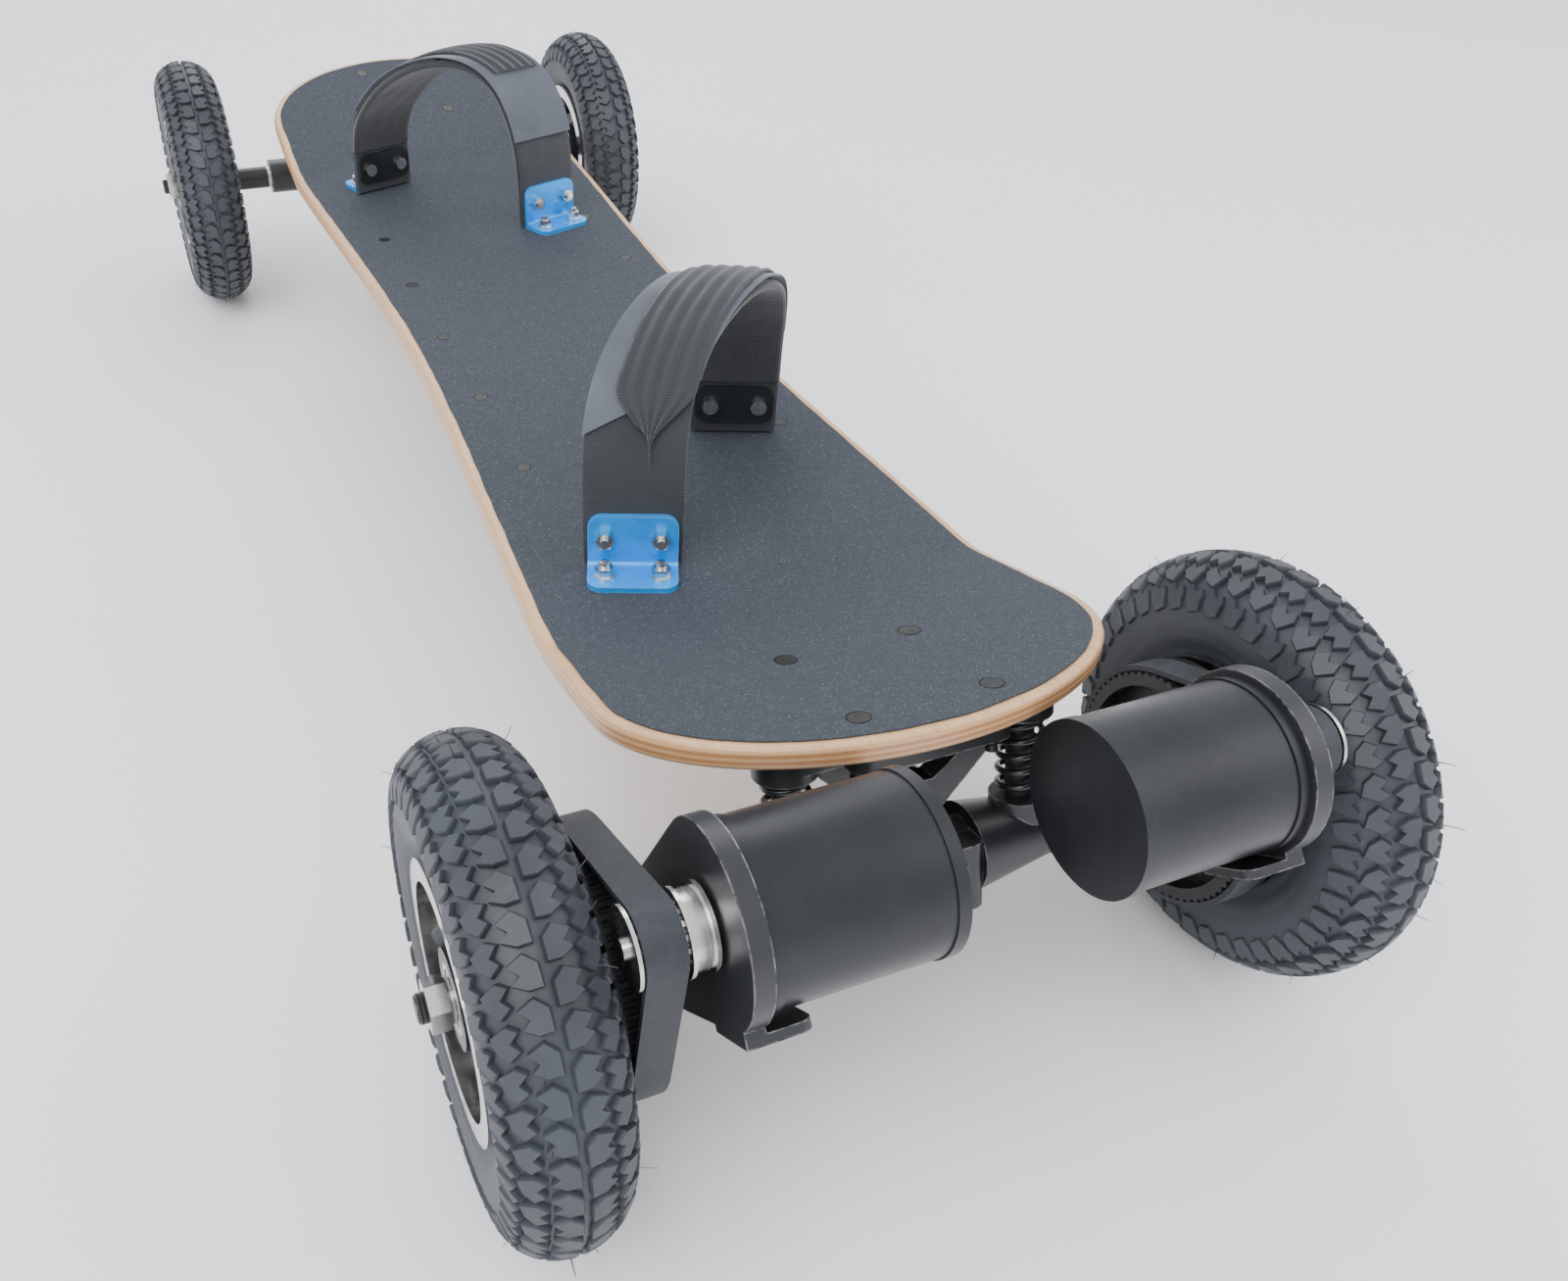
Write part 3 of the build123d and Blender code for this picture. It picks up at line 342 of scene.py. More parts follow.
def anodised_finish(c):
    f = Finish("blue_anodised", Metallic=0.35, Coat_Weight=0.3, Coat_Roughness=0.18)
    brushed = f.grain(260, 4, 0.6, f.place((0.3, 1, 3)))
    cloud = f.grain(40, 4, 0.6)
    base = f.mix(f.span(cloud, 0.3, 0.7), tint(c.anodised, 0.86), tint(c.anodised, 1.12))
    # Painted edge highlight: the edges are mixed towards a lighter blue, which stands in for light caught on
    # them.
    rim = f.sums("MULTIPLY", f.edges(0.0009), 0.4)
    f.set("Base Color", f.mix(rim, base, (0.35, 0.7, 0.95)))
    f.set("Roughness", f.span(brushed, 0.3, 0.75, 0.24, 0.42))
    f.set("Normal", f.relief(brushed, 0.00003, 0.4))
    return f.material


def weave_finish(name, base, scale=1.0, shine=0.3, contrast=1.5):
    """Ribbed webbing: fine weft across, warp along, with a little fuzz."""
    f = Finish(name, Sheen_Weight=shine, Sheen_Roughness=0.5)
    across = f.add("UVMap", uv_map="strap").outputs[0]
    grid = f.add("Mapping", {"Vector": across, "Scale": (1000 * scale, 1000 * scale, 1)}).outputs[0]
    warp = f.bands(0.42, "X", grid)
    weft = f.bands(0.30, "Y", grid, 0.4)
    cloth = f.sums("MULTIPLY", f.span(warp, 0, 1, 0.35, 1), f.span(weft, 0, 1, 0.35, 1))
    fuzz = f.grain(1800, 3, 0.7)
    worn = f.grain(38, 5, 0.65)
    tone = f.mix(f.span(cloth, 0.1, 0.9), tint(base, 0.62), tint(base, contrast))
    f.set("Base Color", f.mix(f.span(worn, 0.35, 0.75, 0, 0.35), tone, tint(base, 1.9)))
    f.set("Roughness", f.span(worn, 0.3, 0.8, 0.68, 0.9))
    f.set("Normal", f.relief(fuzz, 0.0001, 0.4, f.relief(cloth, 0.00035, 0.8)))
    return f.material


def face_finish(c):
    """Smooth brushed-nylon outer face of the straps."""
    f = Finish("strap_face", Sheen_Weight=0.35, Sheen_Roughness=0.4)
    nap = f.grain(1400, 4, 0.7)
    cloud = f.grain(34, 5, 0.6)
    base = f.mix(f.span(cloud, 0.3, 0.72), tint(c.strap_face, 0.72), tint(c.strap_face, 1.15))
    f.set("Base Color", f.mix(f.span(nap, 0.4, 0.7, 0, 0.3), base, tint(c.strap_face, 1.6)))
    f.set("Roughness", f.span(nap, 0.3, 0.7, 0.55, 0.72))
    f.set("Normal", f.relief(nap, 0.00015, 0.6))
    return f.material


def moulded_finish(name, base, grain_size=900, low=0.4, high=0.55):
    f = Finish(name, Specular_IOR_Level=0.45)
    leather = f.cells(grain_size, "SMOOTH_F1")
    cloud = f.grain(20, 4, 0.6)
    f.set("Base Color", f.mix(f.span(cloud, 0.3, 0.7), tint(base, 0.8), tint(base, 1.3)))
    f.set("Roughness", f.span(cloud, 0.3, 0.75, low, high))
    f.set("Normal", f.relief(leather, 0.00012, 0.6))
    return f.material


def belt_finish(c):
    f = Finish("belt_rubber", Specular_IOR_Level=0.45)
    ribs = f.bands(300, "X")
    cloud = f.grain(50, 5, 0.65)
    dust = f.span(f.grain(240, 5, 0.7), 0.5, 0.8, 0, 0.3)
    base = f.mix(f.span(cloud, 0.3, 0.7), tint(c.rubber, 0.6), tint(c.rubber, 1.15))
    f.set("Base Color", f.mix(dust, base, tint(c.rubber, 2.4)))
    f.set("Roughness", f.span(cloud, 0.3, 0.75, 0.5, 0.68))
    f.set("Normal", f.relief(ribs, 0.00008, 0.6))
    return f.material


# ------------------------------------------------------------------ geometry helpers

def sizes():
    return bpy.context.scene.board_sizes


def colours():
    return bpy.context.scene.board_colours


def piece_from(name, points, faces, material, body, smooth=True, uvs=None):
    """A mesh object at the origin that rides on a body and takes the given finish."""
    mesh = bpy.data.meshes.new(name)
    mesh.from_pydata([tuple(p) for p in points], [], faces)
    mesh.materials.append(material)
    if uvs:
        layer = mesh.uv_layers.new(name="strap")
        for loop in mesh.loops:
            layer.data[loop.index].uv = uvs[loop.vertex_index]
    mesh.update()
    if smooth:
        mesh.shade_smooth()
    piece = bpy.data.objects.new(name, mesh)
    bpy.context.scene.collection.objects.link(piece)
    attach(piece, body)
    return piece


def split_by_angle(piece, degrees=35):
    """Keeps sharp edges sharp in a smooth-shaded mesh."""
    piece.data.set_sharp_from_angle(angle=math.radians(degrees))


def centre_of(node):
    low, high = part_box(node)
    return (Vector(low) + Vector(high)) / 2


def ring_faces(rows, columns, start=0, closed_rows=False, closed_columns=True):
    """Quads between rows of points, each row holding columns points."""
    faces = []
    for r in range(rows if closed_rows else rows - 1):
        for k in range(columns if closed_columns else columns - 1):
            a = start + r * columns + k
            b = start + r * columns + (k + 1) % columns
            c = start + ((r + 1) % rows) * columns + (k + 1) % columns
            d = start + ((r + 1) % rows) * columns + k
            faces.append((a, b, c, d))
    return faces


def smooth_step(low, high, value):
    part = min(1.0, max(0.0, (value - low) / (high - low)))
    return part * part * (3 - 2 * part)


# ------------------------------------------------------------------ finishes for the frame's own pieces

def finish_frame(materials):
    """Gives every node that stays a finish, with edges rounded where they would catch light."""
    table = (
        (("rear_baseplate", "front_baseplate", "rear_hanger", "front_hanger"), "coat_worn", 0.0009),
        (("rear_pivot_bolt", "front_pivot_bolt"), "bright", 0.0003),
        (("rear_truck_bolts", "front_truck_bolts", "battery_case_bolts"), "deck_bolt", 0.00025),
        (("strap_fasteners",), "bright", 0.00025),
        (("rear_springs", "front_springs"), "spring", 0.0),
        (("rear_dampers", "front_dampers"), "damper", 0.0006),
        (("rear_axle", "front_axle"), "axle", 0.0),
        (("rear_axle_nuts", "front_axle_nuts"), "axle_hardware", 0.0003),
        (("strap_brackets",), "anodised", 0.0005),
        (("battery_case",), "box", 0.0008),
        (("battery_cells",), "cell", 0.0006),
        (("motor_controller",), "controller", 0.0006),
        (("power_button",), "button", 0.0008),
        (("charge_socket",), "socket", 0.0005),
        (tuple(f"motor_plate_{side}" for side in SIDES), "coat_worn", 0.0007),
        (tuple(f"motor_case_{side}" for side in SIDES), "motor", 0.0006),
        (tuple(f"motor_rotor_{side}" for side in SIDES), "bright", 0.0003),
        (tuple(f"motor_pulley_{side}" for side in SIDES), "bright", 0.0002),
        (tuple(f"drive_belt_{side}" for side in SIDES), "belt", 0.0005),
        (tuple(f"wheel_pulley_{side}" for side in SIDES), "nylon", 0.0003),
        (tuple(f"rim_{corner}" for corner in CORNERS), "rim", 0.0006),
        (tuple(f"rim_bolts_{corner}" for corner in CORNERS), "dark_bolt", 0.0004),
        (tuple(f"bearings_{corner}" for corner in CORNERS), "bearing", 0.0003),
        (tuple(f"inner_tube_{corner}" for corner in CORNERS), "tube", 0.0),
    )
    for names, material, width in table:
        for name in names:
            node = NODES[name]
            node.data.materials.clear()
            node.data.materials.append(materials[material])
            if width:
                soften = node.modifiers.new("Worn edges", "BEVEL")
                soften.width = width
                soften.segments = 2
                soften.limit_method = "ANGLE"
                soften.angle_limit = math.radians(40)
                soften.harden_normals = True
                soften.use_clamp_overlap = True
    fasteners = NODES["strap_fasteners"].data
    fasteners.materials.append(materials["spring"])
    plates = set()
    for group in loose_parts(fasteners):
        corners = [fasteners.vertices[i].co for i in group]
        if max(c.x for c in corners) - min(c.x for c in corners) > PLATE_REACH:
            plates.update(group)
    for face in fasteners.polygons:
        face.material_index = int(face.vertices[0] in plates)


def build_springs():
    """Copies of the springs and their dampers, put in place of the frame's own pieces."""
    for end in ENDS:
        for kind, slot in (("springs", "spring_black"), ("dampers", "damper_rubber")):
            name = f"{end}_{kind}"
            piece = bpy.data.objects.new(f"flexing_{name}", NODES[name].data.copy())
            bpy.context.scene.collection.objects.link(piece)
            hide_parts(name)
            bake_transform(piece)


def rim_finish(c):
    """Black pressed disc with a bright polished flange, told apart by distance from the wheel's axis."""
    f = Finish("rim_black")
    low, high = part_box("rim_front_right")
    centre = (Vector(low) + Vector(high)) / 2
    split = f.add("SeparateXYZ", {0: f.place()})
    y = f.sums("SUBTRACT", f.sums("ABSOLUTE", split.outputs[1]), centre.y)
    z = f.sums("SUBTRACT", split.outputs[2], centre.z)
    distance = f.sums("SQRT", f.sums("ADD", f.sums("MULTIPLY", y, y), f.sums("MULTIPLY", z, z)))
    flange = f.span(distance, FLANGE_RADIUS - 0.0002, FLANGE_RADIUS + 0.0002)
    smears = f.grain(50, 5, 0.65)
    peel = f.grain(1100, 2, 0.5)
    black = f.mix(f.span(smears, 0.3, 0.75), tint(c.coat, 0.9), tint(c.coat, 1.8))
    polished = f.mix(f.span(smears, 0.35, 0.75), c.bright, tint(c.bright, 0.7))
    f.set("Base Color", f.mix(flange, black, polished))
    f.set("Metallic", flange)
    f.set("Roughness", f.sums("ADD", f.span(flange, 0, 1, 0.3, 0.1), f.span(smears, 0.3, 0.8, 0, 0.14)))
    f.set("Normal", f.relief(peel, 0.00006, 0.5))
    return f.material


def frame_materials(c):
    tyre_inside, tyre_outside = (corner[0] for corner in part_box("tyre_rear_right"))
    return {
        "coat_worn": coat_finish(c, "truck_black", 1.0, 0.7),
        "bright": bright_finish(c),
        "axle_hardware": hardware_finish(c, tyre_inside - SPACER_INNER, tyre_inside + SPACER_OUTER),
        "spring": coat_finish(c, "spring_black", 0.6, 0.0, 0.2, 0.34),
        "damper": moulded_finish("damper_rubber", (0.02, 0.021, 0.024)),
        "axle": thread_finish(tyre_outside - THREAD_REACH),
        "anodised": anodised_finish(c),
        "box": moulded_finish("box_plastic", c.moulding, 1300, 0.42, 0.58),
        "cell": moulded_finish("cell_can", (0.03, 0.12, 0.24), 700, 0.3, 0.4),
        "controller": coat_finish(c, "controller_case", 0.6),
        "button": moulded_finish("button_black", (0.03, 0.03, 0.032), 900, 0.25, 0.4),
        "socket": moulded_finish("socket_black", (0.022, 0.022, 0.024), 900, 0.3, 0.45),
        "motor": motor_finish(c),
        "belt": belt_finish(c),
        "nylon": moulded_finish("pulley_nylon", (0.016, 0.017, 0.019), 1200, 0.36, 0.5),
        "rim": rim_finish(c),
        "dark_bolt": bright_finish(c, "rim_bolt_steel", 0.22, 0.26, 0.4),
        "deck_bolt": bright_finish(c, "deck_bolt_steel", 0.07, 0.36, 0.5),
        "bearing": bright_finish(c, "bearing_steel", 0.8),
        "tube": rubber_finish(c),
    }


# ------------------------------------------------------------------ tyres

LUG_ROWS = (
    (0.0, 1.0, ((-6.2, 1.1), (2.2, 1.1), (6.3, 5.4), (3.4, 11.2), (-0.6, 8.2), (-3.6, 10.9), (-6.5, 6.0))),
    (0.5, 1.0, ((-6.4, 16.2), (-3.0, 12.0), (0.4, 14.4), (4.2, 11.6), (6.6, 15.6), (3.2, 21.9),
                (-2.8, 20.4))),
    (0.0, 0.85, ((-6.0, 23.6), (-3.0, 21.6), (0.3, 24.8), (4.2, 22.9), (6.0, 26.8), (4.4, 33.0), (-3.0, 34.2),
                 (-5.6, 29.6))),
)


class TyreShape:
    """Casing of a tyre about its own axis: radius and offset along the axis, in metres."""

    def __init__(self, low, high):
        self.crown = (high[2] - low[2]) / 2
        self.half = (high[0] - low[0]) / 2
        self.lug = sizes().lug_height
        self.middle = self.crown * CASING_SHARE
        self.out = self.crown - self.lug - self.middle
        self.wide = self.half - CASING_PLAY
        self.steps = 400
        self.arc = [0.0]
        for i in range(self.steps):
            a = self.point(math.pi / 2 * i / self.steps)
            b = self.point(math.pi / 2 * (i + 1) / self.steps)
            self.arc.append(self.arc[-1] + math.dist(a, b))

    def point(self, phi):
        reach = self.out if math.cos(phi) >= 0 else BEAD_REACH
        return self.middle + reach * math.cos(phi), self.wide * math.sin(phi)

    def at_arc(self, distance):
        """Point and outward normal at a distance over the casing from its centre line."""
        sign = -1 if distance < 0 else 1
        left = min(abs(distance), self.arc[-1])
        i = next(k for k in range(1, self.steps + 1) if self.arc[k] >= left - 1e-12)
        part = (left - self.arc[i - 1]) / (self.arc[i] - self.arc[i - 1])
        phi = math.pi / 2 * (i - 1 + part) / self.steps
        radius, offset = self.point(phi)
        normal = Vector((math.cos(phi) / self.out, math.sin(phi) / self.wide)).normalized()
        return radius, sign * offset, normal.x, sign * normal.y


def tyre_mesh(shape, rng):
    """Casing, tread blocks, side ridges and mould hairs, about the X axis at the origin."""
    points, faces = [], []
    around = 176

    def spin(radius, offset, turn):
        return offset, radius * math.cos(turn), radius * math.sin(turn)

    section = []
    bead = math.radians(131)
    for i in range(61):
        phi = -bead + 2 * bead * i / 60
        radius, offset = shape.point(phi)
        swell = 0.0
        for ridge, height, width in ((math.radians(99), 0.0005, 0.025), (math.radians(112), 0.0007, 0.04),
                                     (math.radians(121), 0.0004, 0.02)):
            swell += height * math.exp(-((abs(phi) - ridge) / width) ** 2)
        if i == 30:
            swell += 0.0004
        section.append((radius + swell * math.cos(phi), offset + swell * math.sin(phi)))
    lip = section[-1]
    section += [(lip[0] - 0.004, lip[1] - 0.0003), (lip[0] - 0.0045, 0.0), (lip[0] - 0.004, -lip[1] + 0.0003)]
    for radius, offset in section:
        for k in range(around):
            points.append(spin(radius, offset, 2 * math.pi * k / around))
    faces += ring_faces(len(section), around, closed_rows=True)

    pitch = 2 * math.pi / sizes().lugs_round
    levels = ((-0.0006, 0.0), (0.72, 0.00018), (1.0, 0.0007))
    for side in (-1, 1):
        for shift, tall, outline in LUG_ROWS:
            for k in range(sizes().lugs_round):
                turn = pitch * (k + shift + (0.5 if side > 0 else 0.0))
                mid_u = sum(u for u, v in outline) / len(outline)
                mid_v = sum(v for u, v in outline) / len(outline)
                start = len(points)
                for level, inset in levels:
                    for u, v in outline:
                        du, dv = mid_u - u, mid_v - v
                        length = math.hypot(du, dv)
                        uu = (u + du / length * inset * 1000) / 1000
                        vv = (v + dv / length * inset * 1000) / 1000
                        radius, offset, nr, nx = shape.at_arc(side * vv)
                        lift = level if level < 0 else level * shape.lug * tall * (1 - 0.35 * smooth_step(
                            0.024, 0.034, vv))
                        angle = turn + uu / shape.crown
                        points.append(spin(radius + nr * lift, offset + nx * lift, angle))
                count = len(outline)
                flip = side < 0
                for ring in range(2):
                    for n in range(count):
                        a = start + ring * count + n
                        b = start + ring * count + (n + 1) % count
                        quad = (a, b, b + count, a + count)
                        faces.append(quad if flip else quad[::-1])
                top = tuple(start + 2 * count + n for n in range(count))
                faces.append(top if flip else top[::-1])

    for k in range(sizes().vent_hairs):
        turn = 2 * math.pi * (k + rng.uniform(0, 0.8)) / sizes().vent_hairs
        along = rng.uniform(-0.027, 0.027)
        if math.sin(turn) < -0.93:
            continue
        radius, offset, nr, nx = shape.at_arc(along)
        length = rng.uniform(0.0045, 0.0095)
        bend = rng.uniform(-0.4, 0.4)
        start = len(points)
        for step in range(4):
            part = step / 3
            out = length * part + shape.lug * 0.5
            lean = bend * part * part * length
            thick = 0.00032 * (1 - 0.5 * part)
            r, x = radius + nr * out, offset + nx * out + lean * 0.4
            angle = turn + lean / radius
            for corner in range(4):
                a = math.pi / 2 * corner
                points.append(spin(r, x + thick * math.cos(a), angle + thick * math.sin(a) / r))
        faces += ring_faces(4, 4, start)
        faces.append(tuple(start + 12 + n for n in range(4)))
    return points, faces


def build_tyres():
    rubber = rubber_finish(colours())
    for index, corner in enumerate(CORNERS):
        node = f"tyre_{corner}"
        low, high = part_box(node)
        shape = TyreShape(low, high)
        centre = centre_of(node)
        rng = random.Random(40 + index)
        points, faces = tyre_mesh(shape, rng)
        outward = 1 if centre.x > 0 else -1
        placed = [(centre.x + outward * x, centre.y + outward * y, centre.z + z) for x, y, z in points]
        tyre = piece_from(f"tread_tyre_{corner}", placed, faces, rubber, f"wheel_{corner}")
        split_by_angle(tyre, 32)
        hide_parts(node)


# ------------------------------------------------------------------ deck

class DeckShape:
    """Outline and heights of the board, in metres."""

    def __init__(self):
        low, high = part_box("deck")
        s = sizes()
        self.half_length = high[1]
        self.half_width = high[0]
        self.waist = s.waist_width / 2
        self.bend = self.half_length - s.end_length
        self.slope = s.kick_angle
        self.thickness = s.deck_thickness
        self.under = low[2]
        self.top = self.under + self.thickness
        rise = high[2] - self.top
        run = rise / math.tan(self.slope)
        self.knee = self.half_length - run
        self.radius = s.kick_radius

    def side(self, y):
        """Half width of the straight part's flowing side."""
        part = abs(y) / self.bend
        blend = part * part * (3 - 2 * part)
        return self.waist + (self.half_width - self.waist) * blend

    def outline(self, margin, step=0.0045):
        """Points round the edge, drawn in by margin, anticlockwise from the back right."""
        points = []
        wide = self.half_width - margin
        cap = self.half_length - self.bend - margin
        count = int(2 * self.bend / step)
        for i in range(count):
            y = -self.bend + 2 * self.bend * i / count
            points.append((self.side(y) - margin, y))
        turns = int(math.pi * (wide + cap) / 2 / step)
        for i in range(turns):
            a = math.pi * i / turns
            points.append((wide * math.cos(a), self.bend + cap * math.sin(a)))
        return points + [(-x, -y) for x, y in points]

    def height(self, y, depth=0.0):
        """Height of the surface depth below the top."""
        part = depth / self.thickness
        knee = self.knee + part * self.thickness * math.tan(self.slope / 2)
        radius = self.radius + depth
        flat = self.top - depth
        start = knee - radius * math.tan(self.slope / 2)
        along = abs(y) - start
        if along <= 0:
            return flat
        if along < radius * math.sin(self.slope):
            return flat + radius - math.sqrt(radius * radius - along * along)
        return flat + (abs(y) - knee) * math.tan(self.slope)


def inside(point, loop):
    x, y = point
    odd = False
    for (x0, y0), (x1, y1) in zip(loop, loop[1:] + loop[:1]):
        if (y0 > y) != (y1 > y) and x < x0 + (y - y0) / (y1 - y0) * (x1 - x0):
            odd = not odd
    return odd


def filled_outline(loop, holes, spacing):
    """Triangles that fill a loop round its holes, with rows of points inside; returns points and faces."""
    points = [Vector(p) for p in loop]
    edges = [(i, (i + 1) % len(loop)) for i in range(len(loop))]
    for x, y, radius in holes:
        start = len(points)
        points += [Vector((x + radius * math.cos(a), y + radius * math.sin(a)))
                   for a in (2 * math.pi * k / 18 for k in range(18))]
        edges += [(start + k, start + (k + 1) % 18) for k in range(18)]
    reach = max(p[1] for p in loop)
    wide = max(p[0] for p in loop)
    rows = int(2 * reach / spacing)
    for i in range(rows + 1):
        y = -reach + 2 * reach * (i + 0.5) / (rows + 1)
        columns = 7
        crossings = sorted(x0 + (y - y0) / (y1 - y0) * (x1 - x0)
                           for (x0, y0), (x1, y1) in zip(loop, loop[1:] + loop[:1]) if (y0 > y) != (y1 > y))
        if len(crossings) < 2 or crossings[-1] - crossings[0] < 0.02:
            continue
        low, high = crossings[0] + 0.006, crossings[-1] - 0.006
        for k in range(columns + 1):
            x = low + (high - low) * k / columns
            if abs(x) < wide and all(math.hypot(x - hx, y - hy) > r + 0.002 for hx, hy, r in holes):
                points.append(Vector((x, y)))
    found, _, faces, *_ = delaunay_2d_cdt(points, edges, [], 0, 1e-7)
    kept = []
    for face in faces:
        middle = sum((found[i] for i in face), Vector((0, 0))) / len(face)
        if inside(middle, loop) and all((middle - Vector((hx, hy))).length > r * 0.98 for hx, hy, r in holes):
            kept.append(tuple(face))
    return [tuple(p) for p in found], kept


def slab_piece(name, shape, material, margin, low_depth, high_depth, edge_round, holes, wander=0.0):
    """A board between two depths under the deck's surface, rounded at its edge, with holes through it."""
    loops, levels = [], []
    steps = 4
    for k in range(steps + 1):
        a = math.pi / 2 * k / steps
        levels.append((edge_round * (1 - math.sin(a)), high_depth + edge_round * (1 - math.cos(a))))
    for k in range(steps + 1):
        a = math.pi / 2 * k / steps
        levels.append((edge_round * (1 - math.cos(a)), low_depth - edge_round * (1 - math.sin(a))))
    base = shape.outline(margin)
    count = len(base)
    normals = []
    for i in range(count):
        ahead, behind = Vector(base[(i + 1) % count]), Vector(base[i - 1])
        along = (ahead - behind).normalized()
        normals.append(Vector((along.y, -along.x)))
    points, depths = [], []
    for inset, depth in levels:
        for i in range(count):
            x, y = base[i]
            drift = wander * noise.fractal(Vector((x * 55, y * 55, 3.0)), 1.0, 2.0, 3) if wander else 0.0
            point = Vector((x, y)) - normals[i] * (inset + drift)
            loops.append(point)
            points.append((point.x, point.y, shape.height(point.y, depth)))
            depths.append(depth)
    faces = ring_faces(len(levels), count)
    for ring, depth, flip in ((0, high_depth, False), (len(levels) - 1, low_depth, True)):
        loop = [tuple(loops[ring * count + i]) for i in range(count)]
        flat, triangles = filled_outline(loop, holes, 0.0075)
        start = len(points)
        for x, y in flat:
            points.append((x, y, shape.height(y, depth)))
            depths.append(depth)
        for face in triangles:
            face = tuple(start + i for i in face)
            faces.append(face[::-1] if flip else face)
    for x, y, radius in holes:
        start = len(points)
        for depth in (high_depth, low_depth):
            for k in range(18):
                a = 2 * math.pi * k / 18
                px, py = x + radius * math.cos(a), y + radius * math.sin(a)
                points.append((px, py, shape.height(py, depth)))
                depths.append(depth)
        for k in range(18):
            nxt = (k + 1) % 18
            faces.append((start + k, start + 18 + k, start + 18 + nxt, start + nxt))
    piece = piece_from(name, points, faces, material, "board")
    layer = piece.data.attributes.new("ply_depth", "FLOAT", "POINT")
    layer.data.foreach_set("value", [d / shape.thickness for d in depths])
    mesh = bmesh.new()
    mesh.from_mesh(piece.data)
    bmesh.ops.remove_doubles(mesh, verts=mesh.verts, dist=2e-6)
    bmesh.ops.recalc_face_normals(mesh, faces=mesh.faces)
    mesh.to_mesh(piece.data)
    mesh.free()
    split_by_angle(piece, 50)
    return piece


def board_holes():
    """Centre and radius of each bolt hole in the deck, read from the heads of the frame's bolts."""
    found = []
    for node, radius, tilt in (("battery_case_bolts", 0.0041, 0.0),
                               ("rear_truck_bolts", 0.0051, sizes().kick_angle),
                               ("front_truck_bolts", 0.0051, -sizes().kick_angle)):
        mesh = NODES[node].data
        up = Vector((0, math.sin(tilt), math.cos(tilt)))
        groups = [[mesh.vertices[i].co for i in group] for group in loose_parts(mesh)]
        surface = max(corner.dot(up) for group in groups for corner in group)
        for group in groups:
            cap = [corner for corner in group if corner.dot(up) > surface - 0.0004]
            if cap:
                across = [corner.x for corner in cap]
                along = [corner.y for corner in cap]
                found.append(((min(across) + max(across)) / 2, (min(along) + max(along)) / 2, radius))
    return found


def loose_parts(mesh):
    """Groups of joined vertices."""
    parent = list(range(len(mesh.vertices)))

    def root(i):
        while parent[i] != i:
            parent[i] = parent[parent[i]]
            i = parent[i]
        return i

    seen = {}
    for vertex in mesh.vertices:
        key = tuple(round(c, 7) for c in vertex.co)
        first = seen.setdefault(key, vertex.index)
        parent[root(vertex.index)] = root(first)
    for edge in mesh.edges:
        a, b = edge.vertices
        parent[root(a)] = root(b)
    groups = {}
    for i in range(len(mesh.vertices)):
        groups.setdefault(root(i), []).append(i)
    return list(groups.values())


def build_deck():
    c = colours()
    s = sizes()
    shape = DeckShape()
    holes = board_holes()
    board = slab_piece("ply_board", shape, maple_finish(c), 0.0, s.deck_thickness, 0.0,
                       s.deck_round, holes)
    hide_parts("deck")
    thickness = 0.001
    grip = slab_piece("grip_sheet", shape, grip_finish(c), s.grip_margin, -0.0, -thickness,
                      0.0004, [(x, y, r + 0.0001) for x, y, r in holes], 0.0005)
    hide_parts("grip_tape")


# ------------------------------------------------------------------ foot straps

ARCH = (
    ((0.0, 0.0), (0.0, 0.4), (0.30, 1.0), (0.60, 1.0)),
    ((0.60, 1.0), (0.84, 1.0), (1.0, 0.6), (1.0, 0.0)),
)


